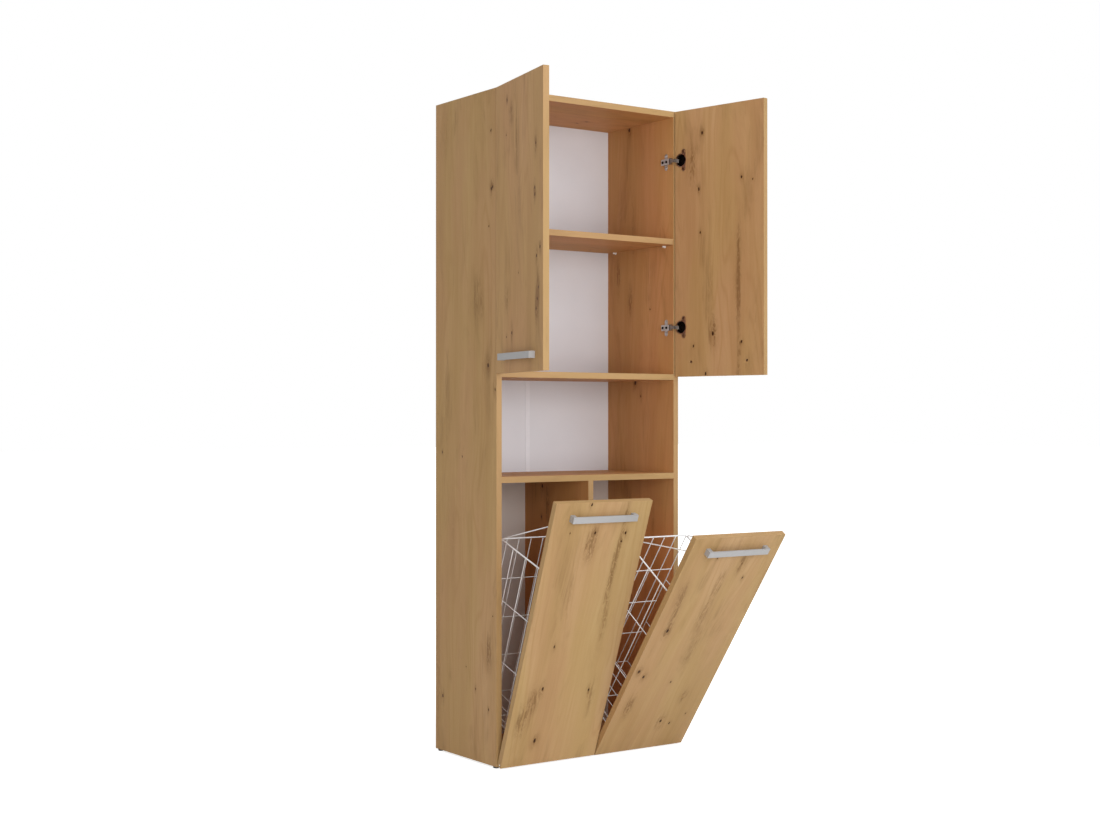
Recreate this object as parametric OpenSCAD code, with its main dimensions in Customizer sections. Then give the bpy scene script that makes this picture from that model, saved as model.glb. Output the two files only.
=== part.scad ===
// Bathroom storage tower in 16 mm laminated board.
// Two doors on concealed cup hinges above an open niche, and two tilt-out
// fronts below that each carry a welded wire laundry basket.
//
// Origin: on the floor, under the middle of the carcass footprint.
// +X right, +Y rear, +Z up, all sizes in millimetres.
// Every front is built shut round its own pivot and then swung to its pose.

/* [Carcass] */
// Width over the two side panels
tower_w = 600; // [580:5:660]
// Depth of the side panels, front edge to rear edge
carcass_d = 300; // [296:2:360]
// Thickness of every laminated board
board_t = 16; // [16:1:18]
// Clear height of the two hamper bays
bay_h = 710; // [700:5:800]
// Clear height of the open niche
niche_h = 256; // [200:2:320]
// Clear height behind the two doors
upper_h = 710; // [640:5:760]
// Height of the plastic glides under the panels
glide_h = 5; // [4:0.5:8]
// Diameter of the glides
glide_d = 15; // [12:1:16]

/* [Loose shelf] */
// Underside of the loose shelf above the panel below it
shelf_rise = 358; // [250:2:430]
// Play between the loose shelf and each side panel
shelf_play = 1; // [0.6:0.2:2]
// Gap between the rear edge of the loose shelf and the back sheets
shelf_rear_gap = 2; // [1.6:0.2:10]
// Distance of the shelf pins from the front and rear edges
pin_inset = 37; // [32:1:60]
// Diameter of the shelf pins
shelf_pin_d = 5; // [4:0.5:6]
// Length of the shelf pins that shows
shelf_pin_out = 9; // [8:0.5:12]

/* [Back] */
// Thickness of the hardboard back sheets
sheet_t = 3; // [2.5:0.5:4]
// Margin of the back sheets inside the outline of the carcass
sheet_margin = 2; // [1:0.5:3]
// Width of the plastic strip that joins the two sheets
strip_w = 14; // [10:1:24]
// Thickness of the legs and the web of the joining strip
strip_wall = 1; // [0.8:0.1:1.4]
// Spacing of the nails up the sides
nail_pitch = 215; // [120:5:300]
// Length of a nail
nail_l = 20; // [16:1:25]

/* [Fronts] */
// Air gap between a shut front and the edges of the carcass
front_gap = 2.5; // [2.5:0.1:4]
// Margin round each front, half of the gap between two fronts
reveal = 1.5; // [1.5:0.1:2.5]
// Distance of a shut door's hinge edge from the side of the tower
door_margin = 0; // [0:0.1:1]
// Share of the shelf edge that a shut front covers
edge_cover = 4.5; // [2:0.5:7]
// Opening angle of the left door
left_door_open = 101; // [0:1:108]
// Opening angle of the right door
right_door_open = 102; // [0:1:108]
// Tilt of the left hamper front
left_hamper_tilt = 20; // [0:1:40]
// Tilt of the right hamper front
right_hamper_tilt = 35; // [0:1:40]

/* [Handles] */
// Length of the bow handles
handle_l = 200; // [128:2:240]
// Height of the flat bar
handle_h = 17; // [12:0.5:22]
// Thickness of the flat bar
handle_bar_t = 3.5; // [3:0.5:6]
// Room for the fingers behind the bar
finger_gap = 13; // [12:0.5:25]
// Length of each end post
handle_post_l = 12; // [10:0.5:16]
// Centre of a handle from the near edge of its front
handle_inset = 40; // [30:1:60]
// Diameter of the handle screws
handle_screw_d = 4; // [3:0.5:5]

/* [Concealed hinges] */
// Diameter of the hinge cup
cup_d = 35; // [35:0.5:36]
// Depth of the cup in the door
cup_depth = 11.3; // [11.2:0.1:12]
// Board left between the cup and the edge of the door
cup_edge = 3; // [3:0.1:3.6]
// Wall thickness of the cup
cup_wall = 1; // [0.8:0.1:1.2]
// Distance of the two hinges from the ends of the door
hinge_inset = 136; // [80:2:200]
// Width of the hinge arm
arm_w = 16; // [14:0.5:16]
// Thickness of the arm plate
arm_t = 1.2; // [1:0.1:1.4]
// Distance of the plate screws from the front edge of the side panel
plate_setback = 30; // [29:0.5:40]
// Diameter of the rivet that the door turns on
rivet_d = 2; // [1.8:0.1:2.2]

/* [Hamper pivots] */
// Height of the pivot above the bottom edge of a front
pivot_rise = 5.5; // [5.5:0.1:6]
// Depth of the pivot behind the inner face of a front
pivot_depth = 9; // [8.6:0.1:9]
// Thickness of the steel pivot brackets
bracket_t = 2; // [1.5:0.1:3]
// Diameter of the pivot pins
pivot_d = 4; // [3.5:0.1:4.4]

/* [Wire baskets] */
// Width of a basket over the centres of its wires
basket_w = 209; // [180:1:240]
// Depth of a basket over the centres of its wires
basket_d = 247; // [200:1:256]
// Height of the rim above the bottom edge of the front
rim_h = 520; // [460:2:560]
// Height of the basket floor above the bottom edge of the front
basket_floor_h = 67; // [60:1:120]
// Height where the two stays meet the front
stay_h = 671; // [600:1:690]
// Diameter of the rim wire
rim_wire = 4; // [3:0.2:5]
// Diameter of the mesh wires
mesh_wire = 2.5; // [2:0.1:3]
// Diameter of the stay wires
stay_wire = 3; // [2.5:0.1:3.6]
// Spacing of the upright wires across the basket
mesh_pitch = 38; // [30:1:60]
// Spacing of the upright wires on the two sides
side_pitch = 60; // [40:1:80]
// Corner radius of the rim and the floor loop
basket_corner = 6; // [5:0.5:12]

/* [Hidden] */
LEFT = -1;
RIGHT = 1;
$fn = 48;
wood = [0.74, 0.60, 0.42];
wood_dark = [0.62, 0.48, 0.34];
white = [0.93, 0.92, 0.91];
nickel = [0.55, 0.52, 0.49];
satin = [0.68, 0.68, 0.69];
zinc = [0.75, 0.76, 0.78];
black = [0.12, 0.12, 0.12];

// Clearances
fit = 0.05;        // round a screw, dowel or pin in its own hole
turn = 0.05;       // round a pin that turns
seat = 0.3;        // beside a piece that drops into a slot
eps = 0.01;        // over-run of a cut past a face
hole = 2 * fit;    // how much wider a hole is than its screw
deeper = 1;        // how much deeper a blind hole is than its screw

// Levels of the carcass
floor_z = glide_h;
bay_z = floor_z + board_t;
niche_floor_z = bay_z + bay_h;
niche_z = niche_floor_z + board_t;
niche_top_z = niche_z + niche_h;
upper_z = niche_top_z + board_t;
top_z = upper_z + upper_h;
tower_top = top_z + board_t;
side_h = tower_top - floor_z;
half_w = tower_w / 2;
half_d = carcass_d / 2;
inner_x = half_w - board_t;
shelf_z = upper_z + shelf_rise;
fixed_levels = [floor_z, niche_floor_z, niche_top_z, top_z];

// Fronts: each is half of the width, less its margins
front_w = half_w - 2 * reveal;
door_w = half_w - reveal - door_margin;
end_gap = 1;                                // fronts stop this far inside the ends
door_z0 = niche_top_z + board_t / 2 + end_gap;
door_z1 = tower_top - end_gap;
hamper_z0 = floor_z + end_gap;
hamper_front_h = niche_floor_z + edge_cover - hamper_z0;
inner_face_y = -half_d - front_gap;

// Door axis: one pin stands for the mean centre of the real linkage
axis_edge = 6;                              // pin from the hinge edge of the door
axis_rise = 4.9;                            // pin above the outside of the cup's floor
axis_depth = cup_depth - axis_rise;
axis_x = half_w - door_margin - axis_edge;
axis_y = inner_face_y - axis_depth;
cup_x = cup_edge + cup_d / 2 - axis_edge;   // cup centre, inward of the pin
cup_floor_t = 0.5;
cup_under = 0.2;                            // room under the cup in its recess
flange_t = 1.2;
flange_over = 1;
flange_screw_z = 24;
flange_screw_in = 9.5;
flange_lobe_r = 6.5;
cup_screw_l = 11;
side_in = board_t - door_margin - axis_edge; // inner face of the side panel from the pin
arm_rise = 6.4;                             // underside of the arm over that face
arm_in = side_in + arm_rise;
arm_side_gap = 0.3;
neck_w = 9;
neck_y = -0.9;
eye_r = 1.8;
ear_t = 1.2;
ear_z = neck_w / 2 + seat;
ear_r = 1.7;
notch_z = ear_z + ear_t;
ear_x1 = cup_x - cup_d / 4 + 2;             // the ears run 2 mm past the notch
edge_y = front_gap + axis_depth;            // front edge of the carcass from the pin
plate_y = edge_y + plate_setback;
plate_t = 2;
plate_lobe_r = 6;
plate_screw_z = 17;
block_w = arm_w - 2 * arm_t - 2 * arm_side_gap;
block_half = 14;
block_y0 = plate_y - block_half;
block_y1 = plate_y + block_half;
arm_y0 = edge_y + 2;                        // the arm widens behind the carcass edge
arm_y1 = block_y1 + 1;
hinge_levels = [door_z0 + hinge_inset, door_z1 - hinge_inset];
wood_screw_d = 3.5;
wood_screw_head_d = 7;
wood_screw_head_t = 1.8;
plate_screw_l = 13;
arm_screw_d = 4;
arm_screw_l = 6;
arm_screw_y = 8;                            // each side of the plate screws
arm_screw_head_d = 7.5;
arm_screw_head_t = 2;

// Hamper pivots
pivot_y = inner_face_y - pivot_depth;
pivot_z = hamper_z0 + pivot_rise;
eye_wall = 2.2;
eye_out = pivot_d / 2 + eye_wall;
slot_w = bracket_t + 2 * seat;
slot_depth = pivot_depth + eye_out + seat;
neck_z = bay_z + 4;
neck_h = 9;
// The top corner of the neck sweeps an arc inside the slot as the front tilts
slot_h = pivot_rise + norm([eye_out, neck_z + neck_h - pivot_z]) + seat;
bracket_setback = 12;                       // behind the front edge of the carcass
bracket_y0 = -half_d + bracket_setback;
bracket_l = 46;
bracket_h = 34;
bracket_screw_l = 12;
bracket_screw_in = 9;                       // screws from the edges of the bracket
pivot_pin_in = 11;

// Baskets, measured from the inner face of the shut front
wire_gap = 0.2;                             // between the rim and the front
rim_s = rim_wire / 2 + wire_gap;
rear_s = rim_s + basket_d;
weld = 0.2;
bay_mid = (inner_x + board_t / 2) / 2;
corner_in = basket_corner * (1 - cos(45));
clip_w = 12;
clip_t = 3;
clip_wall = 2.3;
clip_screw_up = 10;
clip_foot = 5;
clip_screw_d = 3;
clip_screw_l = 14;
clip_head_d = 6;
clip_head_t = 1.6;
lug_d = 10;
lug_l = 8;                                  // from the wire's end up to the screw
lug_t = 1.5;

// Fittings of the boards
cam_d = 15;
cam_depth = 12.5;
cam_in = 34;
cam_inset = 50;
cam_y = half_d - cam_inset;
cam_slot = 1.6;
bolt_d = 6.4;
bolt_hole_d = 8;
bolt_thread_d = 5;
bolt_thread_l = 11;
bolt_waist_d = 4;
bolt_waist_l = 4;
bolt_head_d = 7;
bolt_head_l = 3;
bolt_head_x = cam_in - 1;
dowel_d = 8;
dowel_l = 30;
dowel_in_side = 10;
dowel_step = 32;
dowel_y = cam_y - dowel_step;
glide_pin_d = 2.4;
glide_pin_l = 14;
glide_inset = 14;
glide_chamfer = 1;
nail_d = 1.6;
nail_head_d = 4;
nail_head_t = 0.8;
nail_edge = board_t / 2;
nail_margin = 30;
shelf_pin_in = 8;
collar_over = 1.5;
shelf_setback = 1;

// ---------------------------------------------------------------- helpers

// Box between two corners
module box(a, b) {
  translate(a)
    cube(b - a);
}

// Round bar from point a along X, Y or Z
module bar_x(p, d, l) {
  translate(p)
    rotate([0, 90, 0])
      cylinder(d = d, h = l);
}
module bar_y(p, d, l) {
  translate(p)
    rotate([-90, 0, 0])
      cylinder(d = d, h = l);
}
module bar_z(p, d, l) {
  translate(p)
    cylinder(d = d, h = l);
}

// Round bar between any two points
module rod(a, b, d) {
  v = b - a;
  reach = norm(v);
  translate(a)
    rotate([0, acos(v[2] / reach), atan2(v[1], v[0])])
      cylinder(d = d, h = reach);
}

// Place at a hinge: local x runs inward from the pin, y rearward
module at_hinge(side, z = 0) {
  translate([side * axis_x, axis_y, z])
    mirror([side > 0 ? 1 : 0, 0, 0])
      children();
}

// Swing a door piece that is drawn shut
module swung(side, z = 0) {
  open = side == LEFT ? left_door_open : right_door_open;
  at_hinge(side, z)
    rotate([0, 0, -open])
      children();
}

// Tilt a hamper piece that is drawn shut: local x across from the middle
// of the bay, y rearward from the inner face, z up from the bottom edge
module tilted(side) {
  tilt = side == LEFT ? left_hamper_tilt : right_hamper_tilt;
  translate([0, pivot_y, pivot_z])
    rotate([tilt, 0, 0])
      translate([side * bay_mid, pivot_depth, -pivot_rise])
        children();
}

// ---------------------------------------------------------------- fittings

// Middles of the cam bolts and dowels at one end of a fixed panel
function cam_spots() = [-cam_y, cam_y];
function dowel_spots() = [-dowel_y, dowel_y];

// Cams sit in the face that is out of sight: below the two lower
// panels and above the two upper ones
function cam_up(level) = level > niche_z ? 1 : 0;

module cam_place(level, side, y) {
  translate([side * (inner_x - cam_in), y, level + cam_up(level) * board_t])
    mirror([0, 0, cam_up(level)])
      children();
}

module cam_bore() {
  translate([0, 0, -eps])
    cylinder(d = cam_d + hole, h = cam_depth + seat + eps);
}

// Die-cast drum, slotted for the driver and open for the bolt head
module cam_lock() {
  difference() {
    cylinder(d = cam_d, h = cam_depth);
    for (turned = [0, 90])
      rotate([0, 0, turned])
        box([-cam_d / 3, -cam_slot / 2, -eps], [cam_d / 3, cam_slot / 2, cam_slot]);
    bar_x([-cam_d, 0, board_t / 2], bolt_hole_d, 2 * cam_d);
  }
}

// Cam bolt: thread in the side panel, shank and head in the end bore
module cam_bolt(side, level, y) {
  translate([side * inner_x, y, level + board_t / 2])
    mirror([side < 0 ? 0 : 1, 0, 0]) {
      bar_x([-bolt_thread_l, 0, 0], bolt_thread_d, bolt_thread_l);
      bar_x([0, 0, 0], bolt_d, bolt_head_x - bolt_waist_l);
      bar_x([bolt_head_x - bolt_waist_l, 0, 0], bolt_waist_d, bolt_waist_l);
      bar_x([bolt_head_x, 0, 0], bolt_head_d, bolt_head_l);
    }
}

// Bores of one fixed panel for its cams, bolts and dowels
module panel_end_bores(level) {
  for (side = [LEFT, RIGHT]) {
    for (y = cam_spots()) {
      cam_place(level, side, y)
        cam_bore();
      bar_x([side > 0 ? inner_x - cam_in : -inner_x - eps, y, level + board_t / 2],
            bolt_hole_d, cam_in + eps);
    }
    for (y = dowel_spots())
      bar_x([side > 0 ? inner_x - dowel_l + dowel_in_side - deeper : -inner_x - eps,
             y, level + board_t / 2],
            dowel_d + hole, dowel_l - dowel_in_side + deeper + eps);
  }
}

// Bores of a side panel for one fixed panel
module side_joint_bores(side, level) {
  for (y = cam_spots())
    bar_x([side > 0 ? inner_x - eps : -inner_x - bolt_thread_l - deeper,
           y, level + board_t / 2],
          bolt_thread_d + hole, bolt_thread_l + deeper + eps);
  for (y = dowel_spots())
    bar_x([side > 0 ? inner_x - eps : -inner_x - dowel_in_side - deeper,
           y, level + board_t / 2],
          dowel_d + hole, dowel_in_side + deeper + eps);
}

// Heights of the nails up one side
nail_run = side_h - 2 * nail_edge - 2 * nail_margin;
nail_count = floor(nail_run / nail_pitch) + 1;
nail_span = nail_run / (nail_count - 1);
function nail_heights() =
  [for (k = [0 : nail_count - 1])
    floor_z + nail_edge + nail_margin + k * nail_span];
// Middles of the nails along the top and the bottom panel, per sheet
function nail_rows() = [inner_x / 3, 2 * inner_x / 3];

module nail() {
  bar_y([0, half_d + sheet_t - nail_l, 0], nail_d, nail_l);
  bar_y([0, half_d + sheet_t, 0], nail_head_d, nail_head_t);
}

module side_nails(side) {
  for (z = nail_heights())
    translate([side * (half_w - nail_edge), 0, z])
      children();
}

module row_nails(side, level) {
  for (x = nail_rows())
    translate([side * x, 0, level + board_t / 2])
      children();
}

module nail_bore() {
  bar_y([0, half_d + sheet_t - nail_l - deeper, 0], nail_d + hole,
        nail_l + 2 * deeper);
}

// ---------------------------------------------------------------- carcass

// Spots of the glides: one under the divider's middle, two under each side
function glide_spots() =
  concat([[0, 0]],
         [for (x = [-half_w + board_t / 2, half_w - board_t / 2],
               y = [-half_d + glide_inset, half_d - glide_inset]) [x, y]]);

module glide_bores() {
  for (p = glide_spots())
    bar_z([p[0], p[1], floor_z - eps], glide_pin_d + hole, glide_pin_l + deeper);
}

module side_panel(side) {
  x0 = side > 0 ? inner_x : -half_w;
  color(wood)
    difference() {
      box([x0, -half_d, floor_z], [x0 + board_t, half_d, tower_top]);
      for (level = fixed_levels)
        side_joint_bores(side, level);
      glide_bores();
      side_nails(side)
        nail_bore();
      for (y = [-half_d + pin_inset, half_d - pin_inset])
        bar_x([side > 0 ? inner_x - eps : -inner_x - shelf_pin_in - deeper,
               y, shelf_z - shelf_pin_d / 2],
              shelf_pin_d + hole, shelf_pin_in + deeper + eps);
      for (z = hinge_levels)
        at_hinge(side, z)
          plate_screws(hole, deeper);
      at_bracket(side, 1)
        bracket_screw_pair(side, hole, deeper);
    }
}

module fixed_panel(level) {
  color(wood)
    difference() {
      box([-inner_x, -half_d, level], [inner_x, half_d, level + board_t]);
      panel_end_bores(level);
      children();
    }
}

module top_panel() {
  fixed_panel(top_z)
    for (side = [LEFT, RIGHT])
      row_nails(side, top_z)
        nail_bore();
}

module bottom_panel() {
  fixed_panel(floor_z) {
    for (side = [LEFT, RIGHT])
      row_nails(side, floor_z)
        nail_bore();
    glide_bores();
    divider_dowels(hole, deeper);
  }
}

module niche_top_shelf() {
  fixed_panel(niche_top_z);
}

module niche_floor_shelf() {
  fixed_panel(niche_floor_z)
    divider_dowels(hole, deeper);
}

// Dowels between the divider and the panels above and below it
module divider_dowels(grow, longer) {
  half_l = dowel_l / 2 - dowel_in_side / 2;
  for (y = dowel_spots()) {
    bar_z([0, y, bay_z - dowel_in_side - longer], dowel_d + grow,
          dowel_in_side + half_l + 2 * longer);
    bar_z([0, y, niche_floor_z - half_l - longer], dowel_d + grow,
          dowel_in_side + half_l + 2 * longer);
  }
}

module hamper_divider() {
  color(wood)
    difference() {
      box([-board_t / 2, -half_d, bay_z], [board_t / 2, half_d, niche_floor_z]);
      divider_dowels(hole, deeper);
      for (side = [LEFT, RIGHT])
        at_bracket(side, -1)
          bracket_screw_pair(side, hole, deeper);
    }
}

module back_sheet(side) {
  x0 = strip_wall;
  x1 = half_w - sheet_margin;
  color(white)
    difference() {
      box([side > 0 ? x0 : -x1, half_d, floor_z + sheet_margin],
          [side > 0 ? x1 : -x0, half_d + sheet_t, tower_top - sheet_margin]);
      side_nails(side)
        nail_bore();
      row_nails(side, floor_z)
        nail_bore();
      row_nails(side, top_z)
        nail_bore();
    }
}

// Joining strip with an H section: its front leg lies between the fixed
// panels, so it comes as one length for the niche and one behind the doors
module joint_strip(z0, z1) {
  zc0 = z0 + seat;
  zc1 = z1 - seat;
  web = strip_wall - seat;
  box([-strip_w / 2, half_d - strip_wall, zc0], [strip_w / 2, half_d, zc1]);
  box([-web, half_d - eps, zc0], [web, half_d + sheet_t + eps, zc1]);
  box([-strip_w / 2, half_d + sheet_t, zc0],
      [strip_w / 2, half_d + sheet_t + strip_wall, zc1]);
}

module back_joint_strips() {
  color(white) {
    joint_strip(niche_z, niche_top_z);
    joint_strip(upper_z, top_z);
  }
}

module adjustable_shelf() {
  reach = inner_x - shelf_play;
  color(wood)
    box([-reach, -half_d + shelf_setback, shelf_z],
        [reach, half_d - shelf_rear_gap, shelf_z + board_t]);
}

// Plastic pin with a collar that the shelf rests on
module shelf_pins() {
  color(white)
    for (side = [LEFT, RIGHT], y = [-half_d + pin_inset, half_d - pin_inset])
      translate([side * inner_x, y, shelf_z - shelf_pin_d / 2])
        mirror([side < 0 ? 0 : 1, 0, 0]) {
          bar_x([-shelf_pin_in, 0, 0], shelf_pin_d, shelf_pin_in + shelf_pin_out);
          difference() {
            bar_x([0, 0, 0], shelf_pin_d + 2 * collar_over, collar_over);
            box([-eps, -shelf_pin_d, shelf_pin_d / 2],
                [collar_over + eps, shelf_pin_d, shelf_pin_d]);
          }
        }
}

// Nail-on glide: a chamfered disc on a pin
module floor_glides() {
  color(black)
    for (p = glide_spots())
      translate([p[0], p[1], 0]) {
        cylinder(d1 = glide_d - 2 * glide_chamfer, d2 = glide_d, h = glide_chamfer);
        translate([0, 0, glide_chamfer])
          cylinder(d = glide_d, h = glide_h - glide_chamfer);
        bar_z([0, 0, glide_h - eps], glide_pin_d, glide_pin_l);
      }
}

module cam_locks() {
  color(zinc)
    for (level = fixed_levels, side = [LEFT, RIGHT], y = cam_spots())
      cam_place(level, side, y)
        cam_lock();
}

module cam_bolts() {
  color(zinc)
    for (level = fixed_levels, side = [LEFT, RIGHT], y = cam_spots())
      cam_bolt(side, level, y);
}

module wood_dowels() {
  color(wood_dark) {
    for (level = fixed_levels, side = [LEFT, RIGHT], y = dowel_spots())
      bar_x([side > 0 ? inner_x + dowel_in_side - dowel_l : -inner_x - dowel_in_side,
             y, level + board_t / 2],
            dowel_d, dowel_l);
    divider_dowels(0, 0);
  }
}

module back_nails() {
  color(zinc)
    for (side = [LEFT, RIGHT]) {
      side_nails(side)
        nail();
      row_nails(side, floor_z)
        nail();
      row_nails(side, top_z)
        nail();
    }
}

// ---------------------------------------------------------------- concealed hinges
// Local frame of at_hinge(): the pin is the origin, x inward, y rearward

// Mounting plate: two screwed lobes and a raised block for the arm
module hinge_plate() {
  difference() {
    union() {
      box([side_in, plate_y - plate_lobe_r, -plate_screw_z],
          [side_in + plate_t, plate_y + plate_lobe_r, plate_screw_z]);
      for (z = [-plate_screw_z, plate_screw_z])
        bar_x([side_in, plate_y, z], 2 * plate_lobe_r, plate_t);
      box([side_in, block_y0, -block_w / 2], [arm_in, block_y1, block_w / 2]);
    }
    plate_screws(hole, deeper);
    arm_screws(hole, deeper);
  }
}

// Wood screws of the mounting plate, heads on the lobes
module plate_screws(grow, longer) {
  for (z = [-plate_screw_z, plate_screw_z]) {
    bar_x([side_in + plate_t - plate_screw_l - longer, plate_y, z],
          wood_screw_d + grow, plate_screw_l + longer);
    if (grow == 0)
      bar_x([side_in + plate_t, plate_y, z], wood_screw_head_d, wood_screw_head_t);
  }
}

// Two machine screws hold and adjust the arm on its block
module arm_screws(grow, longer) {
  for (y = [plate_y - arm_screw_y, plate_y + arm_screw_y]) {
    bar_x([arm_in + arm_t - arm_screw_l - longer, y, 0], arm_screw_d + grow,
          arm_screw_l + 2 * longer);
    if (grow == 0)
      bar_x([arm_in + arm_t, y, 0], arm_screw_head_d, arm_screw_head_t);
  }
}

// Arm: an eye on the pin, a flat neck, a leg out of the cup and a channel
module hinge_arm() {
  lip = side_in + plate_t + arm_side_gap;
  difference() {
    union() {
      translate([0, 0, -neck_w / 2])
        cylinder(r = eye_r, h = neck_w);
      box([0, neck_y - arm_t / 2, -neck_w / 2],
          [arm_in + arm_t, neck_y + arm_t / 2, neck_w / 2]);
      box([arm_in, neck_y - arm_t / 2, -neck_w / 2],
          [arm_in + arm_t, arm_y0 + eps, neck_w / 2]);
      box([arm_in, arm_y0, -arm_w / 2], [arm_in + arm_t, arm_y1, arm_w / 2]);
      for (z = [-arm_w / 2, arm_w / 2 - arm_t])
        box([lip, arm_y0, z], [arm_in + arm_t, arm_y1, z + arm_t]);
    }
    translate([0, 0, -neck_w])
      cylinder(d = rivet_d + 2 * turn, h = 2 * neck_w);
    arm_screws(hole, deeper);
  }
}

// Cup: a thin shell, its flange with two lobes, and two ears for the rivet
module hinge_cup() {
  floor_y = axis_depth - cup_depth;
  difference() {
    union() {
      bar_y([cup_x, floor_y, 0], cup_d, cup_depth);
      bar_y([cup_x, axis_depth, 0], cup_d + 2 * flange_over, flange_t);
      for (z = [-flange_screw_z, flange_screw_z])
        bar_y([cup_x + flange_screw_in, axis_depth, z], 2 * flange_lobe_r, flange_t);
      box([cup_x + flange_screw_in - flange_lobe_r, axis_depth, -flange_screw_z],
          [cup_x + flange_screw_in + flange_lobe_r, axis_depth + flange_t,
           flange_screw_z]);
    }
    bar_y([cup_x, floor_y + cup_floor_t, 0], cup_d - 2 * cup_wall,
          cup_depth + flange_t);
    box([cup_x - cup_d, floor_y + cup_floor_t, -notch_z],
        [cup_x - cup_d / 4, axis_depth + cup_depth, notch_z]);
    cup_screws(hole, deeper);
  }
  ear_floor = floor_y + cup_floor_t - eps;
  difference() {
    for (z = [-notch_z, ear_z])
      union() {
        bar_z([0, 0, z], 2 * ear_r, ear_t);
        box([-ear_r, ear_floor, z], [ear_x1, 0, z + ear_t]);
      }
    rivet_bore();
  }
}

module rivet_bore() {
  translate([0, 0, -2 * notch_z])
    cylinder(d = rivet_d + hole, h = 4 * notch_z);
}

module hinge_rivet() {
  translate([0, 0, -notch_z])
    cylinder(d = rivet_d, h = 2 * notch_z);
}

// Wood screws through the lobes of the flange
module cup_screws(grow, longer) {
  for (z = [-flange_screw_z, flange_screw_z]) {
    bar_y([cup_x + flange_screw_in, axis_depth + flange_t - cup_screw_l - longer, z],
          wood_screw_d + grow, cup_screw_l + longer);
    if (grow == 0)
      bar_y([cup_x + flange_screw_in, axis_depth + flange_t, z],
            wood_screw_head_d, wood_screw_head_t);
  }
}

// Recess in the door for one cup
module cup_recess() {
  bar_y([cup_x, axis_depth - cup_depth - cup_under, 0], cup_d + hole,
        cup_depth + cup_under + eps);
  cup_screws(hole, deeper);
}

module hinge_plates(side) {
  color(nickel)
    for (z = hinge_levels)
      at_hinge(side, z)
        hinge_plate();
}

module hinge_arms(side) {
  color(nickel)
    for (z = hinge_levels)
      at_hinge(side, z)
        hinge_arm();
}

module hinge_screws() {
  color(zinc)
    for (side = [LEFT, RIGHT], z = hinge_levels)
      at_hinge(side, z) {
        plate_screws(0, 0);
        arm_screws(0, 0);
      }
}

module hinge_cups(side) {
  color(nickel)
    for (z = hinge_levels)
      swung(side, z)
        hinge_cup();
}

module hinge_rivets(side) {
  color(zinc)
    for (z = hinge_levels)
      swung(side, z)
        hinge_rivet();
}

// ---------------------------------------------------------------- doors
// Drawn shut in the frame of at_hinge()

door_mid = door_w / 2 - axis_edge;
outer_y = axis_depth - board_t;

module door(side) {
  color(wood)
    swung(side)
      difference() {
        box([-axis_edge, outer_y, door_z0],
            [door_w - axis_edge, axis_depth, door_z1]);
        for (z = hinge_levels)
          translate([0, 0, z])
            cup_recess();
        translate([door_mid, outer_y, door_z0 + handle_inset])
          handle_screws(hole, deeper);
      }
}

// ---------------------------------------------------------------- handles
// Drawn on an outer face at y = 0, the bar towards -y, length along x

module bow_handle() {
  reach = finger_gap + handle_bar_t;
  difference() {
    box([-handle_l / 2, -reach, -handle_h / 2], [handle_l / 2, 0, handle_h / 2]);
    box([-handle_l / 2 + handle_post_l, -finger_gap, -handle_h],
        [handle_l / 2 - handle_post_l, eps, handle_h]);
    handle_screws(hole, deeper);
  }
}

handle_screw_x = handle_l / 2 - handle_post_l / 2;
handle_screw_tip = finger_gap - 3;        // reach of the screw into the post
handle_head_d = handle_screw_d + 3.4;
handle_head_t = 2;

// Screws from the inner face through the board into the two posts
module handle_screws(grow, longer) {
  for (x = [-handle_screw_x, handle_screw_x]) {
    bar_y([x, -handle_screw_tip - longer, 0], handle_screw_d + grow,
          handle_screw_tip + board_t - handle_head_t + 2 * longer);
    bar_y([x, board_t - handle_head_t, 0], handle_head_d + grow,
          handle_head_t + longer);
  }
}

module door_handle(side) {
  color(satin)
    swung(side)
      translate([door_mid, outer_y, door_z0 + handle_inset])
        bow_handle();
}

module door_screws(side) {
  color(wood_dark)
    swung(side)
      translate([door_mid, outer_y, door_z0 + handle_inset])
        handle_screws(0, 0);
  color(zinc)
    for (z = hinge_levels)
      swung(side, z)
        cup_screws(0, 0);
}

// ---------------------------------------------------------------- hamper fronts
// Drawn shut in the frame of tilted()

// Middle of the front from the middle of its bay
function front_mid(side) = side * (half_w / 2 - bay_mid);
// Faces that carry a pivot bracket, from the middle of the bay:
// outer = 1 is the side panel, outer = -1 the divider
bay_half = bay_mid - board_t / 2;
function bracket_x(side, outer) = side * outer * (bay_half - bracket_t / 2);

// Place at a bracket: local x is its thickness, y and z are in the frame
// of the whole tower, measured from the pivot
module at_bracket(side, outer) {
  translate([side * bay_mid + bracket_x(side, outer), pivot_y, pivot_z])
    mirror([side * outer > 0 ? 0 : 1, 0, 0])
      children();
}

bracket_dy = bracket_y0 - pivot_y;
bracket_dz = neck_z - pivot_z;
bracket_screw_y = [bracket_dy + bracket_screw_in,
                   bracket_dy + bracket_l - bracket_screw_in];
bracket_screw_z = [bracket_dz + bracket_screw_in,
                   bracket_dz + bracket_h - bracket_screw_in];

// Two screws on a diagonal; the left and the right hand lean opposite ways,
// so that the screws miss each other inside the divider
module bracket_screw_pair(side, grow, longer) {
  for (k = [0, 1])
    translate([0, bracket_screw_y[k], bracket_screw_z[side == LEFT ? k : 1 - k]]) {
      bar_x([-bracket_t / 2, 0, 0], wood_screw_d + grow, bracket_screw_l + longer);
      if (grow == 0)
        bar_x([-bracket_t / 2 - wood_screw_head_t, 0, 0],
              wood_screw_head_d, wood_screw_head_t);
    }
}

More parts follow.
